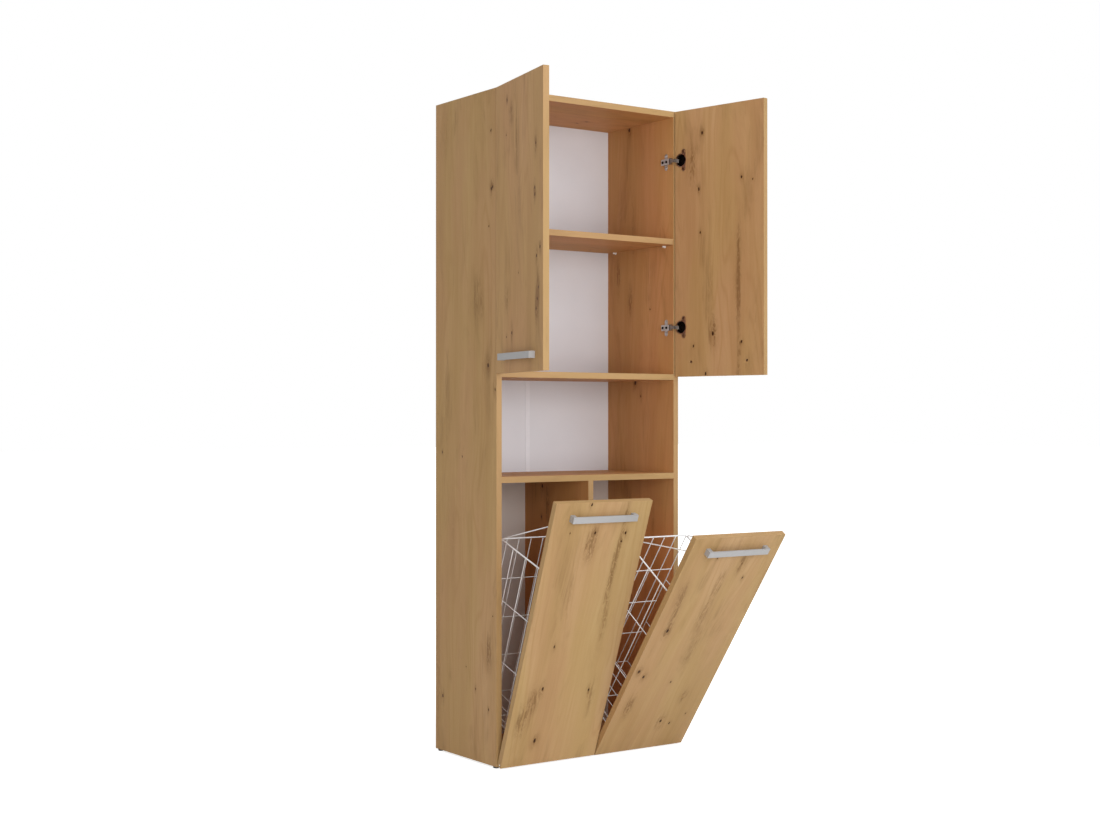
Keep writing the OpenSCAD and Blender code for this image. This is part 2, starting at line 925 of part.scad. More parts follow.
// Swan-neck bracket: screwed plate, neck over the edge of the bottom panel,
// and a riser down to the eye in front of that edge
module pivot_bracket(side) {
  t = bracket_t / 2;
  difference() {
    union() {
      box([-t, bracket_dy, bracket_dz],
          [t, bracket_dy + bracket_l, bracket_dz + bracket_h]);
      box([-t, -eye_out, bracket_dz], [t, bracket_dy + eps, bracket_dz + neck_h]);
      box([-t, -eye_out, 0], [t, eye_out, bracket_dz + eps]);
      bar_x([-t, 0, 0], 2 * eye_out, bracket_t);
    }
    bar_x([-bracket_t, 0, 0], pivot_d + 2 * turn, 2 * bracket_t);
    bracket_screw_pair(side, hole, deeper);
  }
}

module hamper_pivot_brackets() {
  color(zinc)
    for (side = [LEFT, RIGHT], outer = [1, -1])
      at_bracket(side, outer)
        pivot_bracket(side);
}

module bracket_screws() {
  color(zinc)
    for (side = [LEFT, RIGHT], outer = [1, -1])
      at_bracket(side, outer)
        bracket_screw_pair(side, 0, 0);
}

// Pivot pin: pushed in from the side edge of the front, through the eye
module pivot_pin(grow, outer_end, longer) {
  bar_x([-pivot_pin_in - longer, 0, 0], pivot_d + grow,
        pivot_pin_in + outer_end + longer);
}

function pin_out(side, outer) =
  front_w / 2 + side * outer * front_mid(side) - abs(bracket_x(side, outer));

module hamper_pivot_pins() {
  color(zinc)
    for (side = [LEFT, RIGHT], outer = [1, -1])
      at_bracket(side, outer)
        pivot_pin(0, pin_out(side, outer) - seat, 0);
}

module hamper_front(side) {
  mid = front_mid(side);
  color(wood)
    tilted(side)
      difference() {
        box([mid - front_w / 2, -board_t, 0], [mid + front_w / 2, 0, hamper_front_h]);
        for (outer = [1, -1]) {
          x = bracket_x(side, outer);
          box([x - slot_w / 2, -slot_depth, -eps], [x + slot_w / 2, eps, slot_h]);
          translate([x, -pivot_depth, pivot_rise])
            mirror([side * outer > 0 ? 0 : 1, 0, 0])
              pivot_pin(hole, pin_out(side, outer) + deeper, deeper);
        }
        translate([mid, -board_t, hamper_front_h - handle_inset])
          handle_screws(hole, deeper);
        basket_screws(hole, deeper);
      }
}

module hamper_handle(side) {
  color(satin)
    tilted(side)
      translate([front_mid(side), -board_t, hamper_front_h - handle_inset])
        bow_handle();
}

module hamper_screws(side) {
  color(zinc)
    tilted(side) {
      translate([front_mid(side), -board_t, hamper_front_h - handle_inset])
        handle_screws(0, 0);
      basket_screws(0, 0);
    }
}

// ---------------------------------------------------------------- wire baskets
// Drawn in the frame of tilted(): the front's inner face is y = 0

half_bw = basket_w / 2;
side_x = half_bw - corner_in;
rear_y = rear_s - corner_in;
mesh_r = mesh_wire / 2;
wall_z0 = basket_floor_h + mesh_r;
wall_z1 = rim_h - rim_wire / 2;
cross = mesh_wire - weld;               // offset of a wire welded across another
quarter = 90;                           // turn of one corner of a loop

// Uprights of the front and rear walls, spaced from the right corner
upright_room = 10;                      // least room at the left corner
upright_count = floor((basket_w - upright_room) / mesh_pitch);
function uprights() = [for (k = [1 : upright_count]) half_bw - k * mesh_pitch];
// Uprights of a side wall, spaced forward from the rear corner
side_room = 4;                          // least room at the front corner
side_count = floor((basket_d - side_room) / side_pitch);
function side_uprights() = [for (k = [1 : side_count]) rear_s - k * side_pitch];
// Levels of n rails that divide the wall evenly
function rails(n) =
  [for (k = [1 : n]) basket_floor_h + k * (rim_h - basket_floor_h) / (n + 1)];

// Closed loop of wire with round corners, lying level
module wire_loop(d, z) {
  r = basket_corner;
  for (y = [rim_s, rear_s])
    bar_x([-half_bw + r, y, z], d, basket_w - 2 * r);
  for (x = [-half_bw, half_bw])
    bar_y([x, rim_s + r, z], d, basket_d - 2 * r);
  corners = [[half_bw - r, rear_s - r], [-half_bw + r, rear_s - r],
             [-half_bw + r, rim_s + r], [half_bw - r, rim_s + r]];
  for (k = [0 : len(corners) - 1])
    translate([corners[k][0], corners[k][1], z])
      rotate([0, 0, k * quarter])
        rotate_extrude(angle = quarter)
          translate([r, 0])
            circle(d = d, $fn = 24);
}

module basket_rim(side) {
  color(white)
    tilted(side)
      wire_loop(rim_wire, rim_h);
}

// Two straight stays from the rear corners of the rim up to the front,
// each with a flat lug for its screw
module basket_stays(side) {
  color(white)
    tilted(side)
      for (x = [-half_bw, half_bw])
        difference() {
          union() {
            rod([x, rear_s - basket_corner, rim_h + rim_wire / 2 + stay_wire / 2],
                [x, lug_t, stay_h], stay_wire);
            for (z = [stay_h, stay_h + lug_l])
              bar_y([x, 0, z], lug_d, lug_t);
            box([x - lug_d / 2, 0, stay_h], [x + lug_d / 2, lug_t, stay_h + lug_l]);
          }
          lug_screw(x, hole, deeper);
        }
}

module basket_side(side, which) {
  x = which * side_x;
  xr = which * (side_x - cross);
  color(white)
    tilted(side) {
      for (y = side_uprights())
        bar_z([x, y, wall_z0], mesh_wire, wall_z1 - wall_z0);
      for (z = rails(2))
        bar_y([xr, rim_s + cross + mesh_r, z], mesh_wire,
              rear_y - cross - mesh_wire - rim_s - cross);
    }
}

// Rear or front wall; its corner uprights close the wall at both ends
module basket_wall(side, y, inward, n_rails) {
  yr = y + inward * cross;
  color(white)
    tilted(side) {
      for (x = concat(uprights(), [-side_x, side_x]))
        bar_z([x, y, wall_z0], mesh_wire, wall_z1 - wall_z0);
      for (z = rails(n_rails))
        bar_x([-side_x, yr, z], mesh_wire, 2 * side_x);
    }
}

module basket_floor(side) {
  color(white)
    tilted(side) {
      wire_loop(mesh_wire, basket_floor_h);
      for (x = uprights())
        bar_y([x, rim_s - mesh_r, basket_floor_h - cross], mesh_wire,
              basket_d + mesh_wire);
      bar_x([-half_bw + mesh_r - weld, rim_s + basket_d / 2, basket_floor_h],
            mesh_wire, basket_w - mesh_wire + 2 * weld);
    }
}

// Clip places: between the uprights, up at the rim and down at the floor
function clip_x() = [half_bw - mesh_pitch / 2,
                     half_bw - (upright_count - 0.5) * mesh_pitch];
clip_spots = [for (x = clip_x()) [x, rim_h, 1, rim_wire],
              for (x = clip_x()) [x, basket_floor_h, -1, mesh_wire]];

// Plastic saddle clip: a ring round the wire on a screwed foot
module basket_clips(side) {
  color(white)
    tilted(side)
      for (c = clip_spots)
        translate([c[0], 0, c[1]])
          mirror([0, 0, c[2] > 0 ? 0 : 1])
            difference() {
              union() {
                bar_x([-clip_w / 2, rim_s, 0], c[3] + 2 * clip_wall, clip_w);
                box([-clip_w / 2, 0, 0],
                    [clip_w / 2, clip_t, clip_screw_up + clip_foot]);
              }
              bar_x([-clip_w, rim_s, 0], c[3] + 2 * hole, 2 * clip_w);
              box([-clip_w, -clip_w, -clip_w], [clip_w, 0, clip_w]);
              clip_screw(hole, deeper);
            }
}

// Screw of one clip, in the clip's own frame
module clip_screw(grow, longer) {
  bar_y([0, clip_t - clip_screw_l - longer, clip_screw_up],
        clip_screw_d + grow, clip_screw_l + 2 * longer);
  if (grow == 0)
    bar_y([0, clip_t, clip_screw_up], clip_head_d, clip_head_t);
}

// Screw of one stay lug: above the wire, which ends on the lug
module lug_screw(x, grow, longer) {
  z = stay_h + lug_l;
  bar_y([x, lug_t - clip_screw_l - longer, z],
        clip_screw_d + grow, clip_screw_l + 2 * longer);
  if (grow == 0)
    bar_y([x, lug_t, z], clip_head_d, clip_head_t);
}

module basket_screws(grow, longer) {
  for (c = clip_spots)
    translate([c[0], 0, c[1]])
      mirror([0, 0, c[2] > 0 ? 0 : 1])
        clip_screw(grow, longer);
  for (x = [-half_bw, half_bw])
    lug_screw(x, grow, longer);
}

// ---------------------------------------------------------------- assembly

side_panel(LEFT);  // left_side_panel
side_panel(RIGHT);  // right_side_panel
top_panel();
bottom_panel();
niche_top_shelf();
niche_floor_shelf();
hamper_divider();
back_sheet(LEFT);  // left_back_sheet
back_sheet(RIGHT);  // right_back_sheet
back_joint_strips();
adjustable_shelf();
shelf_pins();
floor_glides();
cam_locks();
cam_bolts();
wood_dowels();
back_nails();
hinge_plates(LEFT);  // left_hinge_plates
hinge_plates(RIGHT);  // right_hinge_plates
hinge_arms(LEFT);  // left_hinge_arms
hinge_arms(RIGHT);  // right_hinge_arms
hinge_screws();
hamper_pivot_brackets();
hamper_pivot_pins();
bracket_screws();
door(LEFT);  // left_door
door_handle(LEFT);  // left_door_handle
door_screws(LEFT);  // left_door_screws
hinge_cups(LEFT);  // left_hinge_cups
hinge_rivets(LEFT);  // left_hinge_rivets
door(RIGHT);  // right_door
door_handle(RIGHT);  // right_door_handle
door_screws(RIGHT);  // right_door_screws
hinge_cups(RIGHT);  // right_hinge_cups
hinge_rivets(RIGHT);  // right_hinge_rivets
hamper_front(LEFT);  // left_hamper_front
hamper_handle(LEFT);  // left_hamper_handle
hamper_screws(LEFT);  // left_hamper_screws
basket_rim(LEFT);  // left_basket_rim
basket_stays(LEFT);  // left_basket_stays
basket_side(LEFT, LEFT);  // left_basket_left_side
basket_side(LEFT, RIGHT);  // left_basket_right_side
basket_wall(LEFT, rear_y, -1, 3);  // left_basket_rear
basket_wall(LEFT, rim_s, 1, 2);  // left_basket_front
basket_floor(LEFT);  // left_basket_floor
basket_clips(LEFT);  // left_basket_clips
hamper_front(RIGHT);  // right_hamper_front
hamper_handle(RIGHT);  // right_hamper_handle
hamper_screws(RIGHT);  // right_hamper_screws
basket_rim(RIGHT);  // right_basket_rim
basket_stays(RIGHT);  // right_basket_stays
basket_side(RIGHT, LEFT);  // right_basket_left_side
basket_side(RIGHT, RIGHT);  // right_basket_right_side
basket_wall(RIGHT, rear_y, -1, 3);  // right_basket_rear
basket_wall(RIGHT, rim_s, 1, 2);  // right_basket_front
basket_floor(RIGHT);  // right_basket_floor
basket_clips(RIGHT);  // right_basket_clips
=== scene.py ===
"""Looks of the bathroom storage tower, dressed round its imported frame.

Lengths are metres, in the frame of the part: +X right, +Y rear, +Z up.
"""
import math

import bpy
import numpy as np
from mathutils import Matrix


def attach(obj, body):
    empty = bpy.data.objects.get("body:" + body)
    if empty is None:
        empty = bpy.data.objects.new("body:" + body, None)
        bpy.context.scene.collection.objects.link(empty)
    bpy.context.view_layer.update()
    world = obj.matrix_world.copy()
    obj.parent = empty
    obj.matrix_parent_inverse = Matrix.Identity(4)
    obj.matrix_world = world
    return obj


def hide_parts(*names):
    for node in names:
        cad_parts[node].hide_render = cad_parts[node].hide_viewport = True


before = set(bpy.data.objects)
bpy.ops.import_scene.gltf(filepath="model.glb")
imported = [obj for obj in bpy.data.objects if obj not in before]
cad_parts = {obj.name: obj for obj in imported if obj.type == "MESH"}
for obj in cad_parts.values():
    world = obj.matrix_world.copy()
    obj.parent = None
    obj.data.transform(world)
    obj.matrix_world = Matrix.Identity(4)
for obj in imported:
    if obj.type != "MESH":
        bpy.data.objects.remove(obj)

for leftover in ("Cube", "Light", "Camera"):
    if leftover in bpy.data.objects:
        bpy.data.objects.remove(bpy.data.objects[leftover])
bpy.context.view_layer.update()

LEFT, RIGHT = -1, 1
SIDES = {"left": LEFT, "right": RIGHT}

# ---- sizes
# A door's pin (x, y), its distances from the hinge edge and the inner face, and
# how deep a cup is
DOOR_PIN = (0.294, -0.1589)
DOOR_EDGE = 0.006
DOOR_DEPTH = 0.0064
CUP_DEPTH = 0.0113
# Hinge screws nearer to the middle than this are those of the arms
ARM_HEAD_X = 0.278
DOOR_OPEN = {LEFT: math.radians(101), RIGHT: math.radians(102)}
# A front's pivot (y, z), with its depth behind the inner face and its height
# over the front's lower edge
HAMPER_PIVOT = (-0.1615, 0.0115)
PIVOT_DEPTH = 0.009
PIVOT_RISE = 0.0055
HAMPER_TILT = {LEFT: math.radians(20), RIGHT: math.radians(35)}
BAY_MID = 0.146
# Board faces nearer to the middle than these two are inside the carcass
SIDE_FACE, TOP_FACE = 0.299, 1.744
# Angles over which an edge is eased, and is sharp
EASED_ANGLE, SHARP_ANGLE = math.radians(40), math.radians(35)
# Widths of the eased edges
BOARD_EASE, HANDLE_EASE = 0.0005, 0.0007
PLASTIC_EASE, STEEL_EASE, FINE_EASE = 0.0004, 0.0003, 0.0002
# Depths of the bumps on the finishes
OAK_GRAIN, ORANGE_PEEL, MOULD_GRAIN, SCRATCH, FELT = 0.00012, 0.00005, 0.00004, 0.00003, 0.00015
# Heights between which the bays' painted shade comes in, on oak and on hardboard
OAK_BAY_SHADE, SHEET_BAY_SHADE = (0.72, 0.50), (0.74, 0.70)


# ---- frames of the boards
class Place:
    """A board's own frame: an origin and the unit vectors across its width,
    through its thickness and along its grain."""

    def __init__(self, origin, across, through, along):
        self.origin = np.array(origin, float)
        self.axes = np.array([across, through, along], float)

    def local(self, points):
        """Points in the board's frame: the three dot products with its axes."""
        return (points - self.origin) @ self.axes.T

    def world(self, points):
        """Points of the board's frame, in the part's frame."""
        return points @ self.axes + self.origin

    def turn(self, vectors):
        """Directions in the board's frame."""
        return vectors @ self.axes.T


UPRIGHT = Place((0, 0, 0), (0, 1, 0), (1, 0, 0), (0, 0, 1))
LEVEL = Place((0, 0, 0), (0, 1, 0), (0, 0, 1), (1, 0, 0))


def door_place(side):
    """Frame of an open door: across runs from its hinge edge, through from
    its pin towards its inner face, along is up."""
    c, s = math.cos(DOOR_OPEN[side]), math.sin(DOOR_OPEN[side])
    across = np.array([-side * c, -s, 0])
    through = np.array([-side * s, c, 0])
    pin = np.array([side * DOOR_PIN[0], DOOR_PIN[1], 0])
    return Place(pin - DOOR_EDGE * across, across, through, (0, 0, 1))


def hamper_place(side, middle=0.0):
    """Frame of a tilted front: across is +X, through runs rearward from its
    inner face, along runs up from its lower edge."""
    c, s = math.cos(HAMPER_TILT[side]), math.sin(HAMPER_TILT[side])
    through, along = np.array([0, c, s]), np.array([0, -s, c])
    pivot = np.array([middle, HAMPER_PIVOT[0], HAMPER_PIVOT[1]])
    return Place(pivot + PIVOT_DEPTH * through - PIVOT_RISE * along, (1, 0, 0), through, along)


# ---- node trees
class Tree:
    """A node tree written as formulas: each method adds one node and gives
    back its output."""

    def __init__(self, tree, material=None):
        self.tree, self.material = tree, material

    def put(self, socket, value):
        """Links an output to the socket, or sets its plain value."""
        if isinstance(value, bpy.types.NodeSocket):
            self.tree.links.new(value, socket)
        else:
            socket.default_value = value

    def add(self, kind, inputs=None, **settings):
        """A new node of the kind, with its settings and inputs."""
        node = self.tree.nodes.new(kind)
        for key, value in settings.items():
            setattr(node, key, value)
        for key, value in (inputs or {}).items():
            self.put(node.inputs[key], value)
        return node

    def math(self, operation, a, b=0.0):
        """The named operation on two values."""
        return self.add("ShaderNodeMath", {0: a, 1: b}, operation=operation).outputs[0]

    def plus(self, a, b):
        return self.math("ADD", a, b)

    def minus(self, a, b):
        return self.math("SUBTRACT", a, b)

    def times(self, a, b):
        return self.math("MULTIPLY", a, b)

    def over(self, a, b):
        return self.math("DIVIDE", a, b)

    def bell(self, square):
        """e to the power of minus the value."""
        return self.math("EXPONENT", self.times(square, -1.0))

    def scaled(self, vector, x, y, z=1.0):
        """The vector with its parts times x, y and z."""
        values = {0: vector, 1: (x, y, z)}
        return self.add("ShaderNodeVectorMath", values, operation="MULTIPLY").outputs[0]

    def joined(self, x, y, z):
        return self.add("ShaderNodeCombineXYZ", {0: x, 1: y, 2: z}).outputs[0]

    def parts(self, vector):
        return self.add("ShaderNodeSeparateXYZ", {0: vector}).outputs

    def noise(self, vector, scale=1.0, detail=2.0, rough=0.5, twist=0.0):
        """Fractal noise between 0 and 1 at the vector."""
        values = {"Vector": vector, "Scale": scale, "Detail": detail, "Roughness": rough}
        return self.add("ShaderNodeTexNoise", {**values, "Distortion": twist}).outputs["Fac"]

    def stretched(self, vector, x, y, z, detail, rough, twist):
        """Noise of the vector with its parts times x, y and z."""
        return self.noise(self.scaled(vector, x, y, z), 1.0, detail, rough, twist)

    def range(self, value, low, high, to_low=0.0, to_high=1.0):
        """The value's smooth step between low and high, put in the new range."""
        values = {0: value, 1: low, 2: high, 3: to_low, 4: to_high}
        return self.add("ShaderNodeMapRange", values, interpolation_type="SMOOTHSTEP").outputs[0]

    def mix(self, factor, a, b, blend="MIX"):
        """Colour a, with b blended over it by the factor."""
        values = {0: factor, 6: a, 7: b}
        return self.add("ShaderNodeMix", values, data_type="RGBA", blend_type=blend).outputs[2]

    def ramp(self, value, stops):
        """Colour of the value between the stops, each (place, colour)."""
        node = self.add("ShaderNodeValToRGB", {0: value})
        ramp = node.color_ramp
        while len(ramp.elements) < len(stops):
            ramp.elements.new(0.5)
        for element, stop in zip(ramp.elements, stops):
            element.position, element.color = stop
        return node.outputs[0]

    def bump(self, height, distance, strength):
        """A normal tilted by the slope of the height, in units of distance."""
        values = {"Height": height, "Distance": distance, "Strength": strength}
        return self.add("ShaderNodeBump", values).outputs[0]

    def finish(self, colour, rough, height=None, depth=0.0, strength=0.5):
        """Links the Principled shader's colour, its roughness and a bump;
        gives the material."""
        inputs = self.tree.nodes["Principled BSDF"].inputs
        self.put(inputs["Base Color"], colour)
        self.put(inputs["Roughness"], rough)
        if height is not None:
            self.put(inputs["Normal"], self.bump(height, depth, strength))
        return self.material

    def surface_place(self):
        """Object coordinates of the shaded point."""
        return self.add("ShaderNodeTexCoord").outputs["Object"]

    def face_value(self, name):
        """The piece's own attribute of that name."""
        return self.add("ShaderNodeAttribute", attribute_name=name).outputs["Fac"]


WHITE = (1.0, 1.0, 1.0, 1.0)


def tone(red, green, blue):
    """Linear colour of an 8-bit screen colour."""
    value = np.array([red, green, blue]) / 255.0
    linear = np.where(value > 0.04045, ((value + 0.055) / 1.055) ** 2.4, value / 12.92)
    return (*linear.tolist(), 1.0)


def new_group(name, inputs, outputs):
    """An empty node group, whose sockets are floats unless kinds says
    otherwise; gives the group, its Tree, its inputs and its outputs."""
    group = bpy.data.node_groups.new(name, "ShaderNodeTree")
    kinds = {"Place": "NodeSocketVector", "Centre": "NodeSocketVector", "Colour": "NodeSocketColor"}
    for names, way in ((inputs, "INPUT"), (outputs, "OUTPUT")):
        for socket in names:
            kind = kinds.get(socket, "NodeSocketFloat")
            group.interface.new_socket(socket, in_out=way, socket_type=kind)
    tree = Tree(group)
    return group, tree, tree.add("NodeGroupInput").outputs, tree.add("NodeGroupOutput").inputs


def new_material(name, **values):
    """Tree of a new material with one Principled shader, its plain values
    set on it."""
    material = bpy.data.materials.new(name)
    material.use_nodes = True
    shader = material.node_tree.nodes["Principled BSDF"]
    for key, value in values.items():
        shader.inputs[key.replace("_", " ")].default_value = value
    return Tree(material.node_tree, material)


# ---- oak laminate
# Noises of the decor: repeats per metre across and along the grain and per
# unit of the seed, then detail, roughness and twist
SWAY = (7.0, 4.5, 1.0, 2.0, 0.5, 0.0)
FLAME = (6.5, 0.8, 1.0, 2.0, 0.5, 0.9)
BANDS = (24.0, 1.3, 1.0, 4.0, 0.6, 0.3)
LINES = (170.0, 4.5, 1.0, 4.0, 0.65, 0.0)
FIBRE = (900.0, 20.0, 1.0, 2.0, 0.6, 0.0)
HUE = (9.0, 1.9, 3.0, 2.0, 0.5, 0.0)
PATCHES = (15.0, 3.4, 7.0, 4.0, 0.65, 0.6)
BLOTCH = (95.0, 34.0, 3.0, 3.0, 0.7, 1.2)
# How far the sway moves the grain, and how many contour lines a flame has
SWAY_REACH, CONTOURS = 0.022, 26.0
# Colours of the figure from dark to light, then of what lies over it
FIGURE_TONES = (
    (0.28, tone(160, 122, 78)), (0.42, tone(175, 138, 91)),
    (0.56, tone(184, 148, 101)), (0.72, tone(194, 160, 114)),
)
PATCH_TONE, HALO_TONE, PORE_TONE = tone(138, 104, 64), tone(122, 87, 50), tone(122, 88, 54)
RIM_TONE, KNOT_TONE, EDGING_TONE = tone(104, 66, 30), tone(56, 32, 14), tone(170, 137, 93)
OLIVE, PINK = (0.995, 1.003, 0.950, 1.0), (1.025, 0.980, 1.03, 1.0)
# Painted shade on the inner faces: a warm tint everywhere, for light bounced
# off the wood, and a redder one down in the bays; and how the painted shade
# darkens between a front and a rear u
INNER_SHADE_TINT, BAY_SHADE_TINT = (1.10, 0.89, 0.74, 1.0), (1.38, 0.94, 0.70, 1.0)
REARWARD_SHADE = (-0.13, 0.12, 1.10, 0.85)
# Flakes of raw chipboard
CHIP_TONES = ((0.0, tone(120, 88, 58)), (0.5, tone(186, 154, 112)), (1.0, tone(214, 188, 150)))


def knot_group():
    """One knot or streak at a centre. Its core is a bell over the distance,
    longer along the grain; its halo is a bell across times a longer bell
    along; its shift pushes the grain sideways round the core."""
    group, t, given, out = new_group(
        "knot mark",
        ("Place", "Centre", "Radius", "Tail", "Core", "Halo"),
        ("Core", "Halo", "Shift"),
    )
    ends = {0: given["Place"], 1: given["Centre"]}
    x, y, _ = t.parts(t.add("ShaderNodeVectorMath", ends, operation="SUBTRACT").outputs[0])
    across = t.over(x, given["Radius"])
    along = t.over(y, given["Radius"])
    across2, along2 = t.times(across, across), t.times(along, along)
    core = t.bell(t.times(t.plus(across2, t.times(along2, 0.4)), 1.1))
    reach = t.over(y, given["Tail"])
    halo = t.times(t.bell(t.times(across2, 0.16)), t.bell(t.times(reach, reach)))
    push = t.bell(t.plus(t.times(across2, 0.09), t.times(along2, 0.016)))
    t.put(out["Core"], t.times(core, given["Core"]))
    t.put(out["Halo"], t.times(halo, given["Halo"]))
    t.put(out["Shift"], t.times(t.times(x, push), t.times(given["Core"], -0.45)))
    return group


def oak_group():
    """Knotty oak decor. The figure is a sum of noises stretched along the
    grain, which itself wanders: wide flames, uneven bands and fine lines,
    less the contour lines of the flames. A slow noise moves the hue between
    olive and pink, a patchy one lets brown streaks through, and halo, broken
    by blotches, and core darken the wood. Inner faces carry painted shade: a
    warm tint for light bounced off the wood, and on upright boards painted
    shade that darkens rearward and reddens below the niche."""
    group, t, given, out = new_group(
        "oak decor",
        ("Place", "Shift", "Core", "Halo", "Seed", "Raw", "Edge", "Inside", "Upright"),
        ("Colour", "Roughness", "Height"),
    )
    u, v, _ = t.parts(given["Place"])
    u = t.plus(u, given["Shift"])
    here = t.joined(u, v, given["Seed"])
    sway = t.minus(t.stretched(here, *SWAY), 0.5)
    here = t.joined(t.plus(u, t.times(sway, SWAY_REACH)), v, given["Seed"])
    flame, bands = t.stretched(here, *FLAME), t.stretched(here, *BANDS)
    lines, fibre = t.stretched(here, *LINES), t.stretched(here, *FIBRE)
    figure = t.plus(t.times(flame, 0.40), t.plus(t.times(bands, 0.42), t.times(lines, 0.18)))
    contour = t.range(t.math("PINGPONG", t.times(flame, CONTOURS), 1.0), 0.0, 0.5, 1.0, 0.0)
    figure = t.minus(figure, t.times(t.times(contour, t.range(bands, 0.40, 0.60)), 0.09))
    wood = t.ramp(figure, FIGURE_TONES)
    cast = t.mix(t.range(t.stretched(here, *HUE), 0.35, 0.65), OLIVE, PINK)
    wood = t.mix(1.0, wood, cast, "MULTIPLY")
    patches = t.range(t.stretched(here, *PATCHES), 0.50, 0.72)
    patches = t.times(patches, t.range(lines, 0.38, 0.60, 0.25, 1.0))
    wood = t.mix(t.times(patches, 0.55), wood, PATCH_TONE)
    # Lines and blotches break up the halos
    streaky = t.plus(0.35, t.times(t.range(lines, 0.36, 0.64), 0.85))
    blotch = t.range(t.stretched(here, *BLOTCH), 0.36, 0.58, 0.30, 1.25)
    halo = t.math("MINIMUM", t.times(given["Halo"], t.times(streaky, blotch)), 0.75)
    wood = t.mix(halo, wood, HALO_TONE)
    wood = t.mix(t.times(t.range(given["Core"], 0.26, 0.50), 0.75), wood, RIM_TONE)
    wood = t.mix(t.range(given["Core"], 0.48, 0.60), wood, KNOT_TONE)
    pores = t.times(t.range(fibre, 0.58, 0.72), t.range(lines, 0.35, 0.6))
    wood = t.mix(t.times(pores, 0.20), wood, PORE_TONE)
    wood = t.mix(t.times(given["Edge"], 0.40), wood, EDGING_TONE)
    # Painted shade on inner faces: warm overall, and on upright boards darker rearward and redder
    # down in the bays
    rearward = t.range(t.minus(u, t.math("GREATER_THAN", u, 0.5)), *REARWARD_SHADE)
    painted_shade = t.mix(t.range(v, *OAK_BAY_SHADE), INNER_SHADE_TINT, BAY_SHADE_TINT)
    painted_shade = t.mix(1.0, painted_shade, t.joined(rearward, rearward, rearward), "MULTIPLY")
    painted_shade = t.mix(given["Upright"], INNER_SHADE_TINT, painted_shade)
    wood = t.mix(given["Inside"], wood, t.mix(1.0, wood, painted_shade, "MULTIPLY"))
    # Raw chipboard, where a board carries no edging: pale and dark flakes
    cells = {"Vector": t.scaled(here, 700.0, 260.0, 9.0), "Scale": 1.0}
    chip, lump, _ = t.parts(t.add("ShaderNodeTexVoronoi", cells).outputs["Color"])
    chips = t.ramp(chip, CHIP_TONES)
    t.put(out["Colour"], t.mix(given["Raw"], wood, chips))
    rough = t.plus(0.50, t.plus(t.times(pores, 0.14), t.times(bands, 0.12)))
    t.put(out["Roughness"], t.plus(rough, t.times(given["Raw"], 0.35)))
    grain = t.minus(t.times(lines, 0.5), pores)
    raw_height = t.times(lump, given["Raw"])
    t.put(out["Height"], t.plus(t.minus(grain, given["Core"]), t.times(raw_height, 3.0)))
    return group


KNOT, OAK = knot_group(), oak_group()
# A mark's bell takes this share of its listed radius, and this much more
KNOT_SHARE, KNOT_MORE = 0.65, 0.0009


def oak(name, marks, seed, tint, upright):
    """Oak laminate of one board: its own marks over the shared decor, times
    the board's tint on its faces. A mark is (u, v, radius, tail, core, halo)
    in millimetres on the board's map."""
    t = new_material("oak " + name, Specular_IOR_Level=0.16)
    place = t.add("ShaderNodeUVMap", uv_map="board").outputs[0]
    ragged = t.minus(t.noise(place, scale=330.0, detail=3.0, rough=0.7), 0.5)
    u, v, _ = t.parts(place)
    wandering = t.minus(t.noise(t.scaled(place, 30.0, 9.0)), 0.5)
    # Knots are frayed by a fine noise and lean with a slow one
    u = t.plus(u, t.plus(t.times(ragged, 0.0045), t.times(wandering, 0.010)))
    near = t.joined(u, t.plus(v, t.times(ragged, 0.012)), 0.0)
    core, halo, shift = 0.0, 0.0, 0.0
    for *sizes, dark, glow in marks:
        mu, mv, radius, tail = (size / 1000.0 for size in sizes)
        values = {
            "Place": near, "Centre": (mu, mv, 0.0), "Radius": KNOT_SHARE * radius + KNOT_MORE,
            "Tail": tail, "Core": dark, "Halo": glow,
        }
        knot = t.add("ShaderNodeGroup", values, node_tree=KNOT).outputs
        core = t.math("MAXIMUM", core, knot["Core"])
        halo = t.plus(halo, knot["Halo"])
        shift = t.plus(shift, knot["Shift"])
    edge = t.face_value("edging")
    values = {
        "Place": place, "Shift": shift, "Core": core, "Halo": halo, "Seed": seed, "Edge": edge,
        "Raw": t.face_value("raw"), "Inside": t.face_value("inside"), "Upright": float(upright),
    }
    decor = t.add("ShaderNodeGroup", values, node_tree=OAK).outputs
    tinted = t.mix(1.0, decor["Colour"], (*tint, 1.0), "MULTIPLY")
    colour = t.mix(edge, tinted, decor["Colour"])
    return t.finish(colour, decor["Roughness"], decor["Height"], OAK_GRAIN)


# Share of knots among drawn marks, and ranges of radius, tail and halo of
# streaks and of knots
KNOTS = 0.6
DRAWN = (((2.5, 7.0), (30, 80), (0.3, 0.7)), ((2.0, 5.0), (12, 30), (0.3, 0.8)))


def scattered(seed, u0, u1, v0, v1, count):
    """Marks for a face that has none of its own: small knots and soft
    streaks at drawn places, in millimetres."""
    draw = np.random.default_rng(seed)
    marks = []
    for _ in range(count):
        u, v = draw.uniform(u0, u1), draw.uniform(v0, v1)
        knot = draw.random() < KNOTS
        radius, tail, halo = (draw.uniform(*limits) for limits in DRAWN[knot])
        marks.append((u, v, radius, tail, float(knot), halo))
    return marks


# How far along the map a board's far face lies, in millimetres, and its long
# and short edges, in metres
FAR = 1000
LONG_EDGE, SHORT_EDGE = 3.0, 5.0
# A face belongs to the axis its normal has more than this share of
FACING = 0.7
# Points nearer than this are in one plane
TOUCH = 1e-4


def far(marks):
    """The same marks on the far face of a board."""
    return [(mark[0] + FAR, *mark[1:]) for mark in marks]


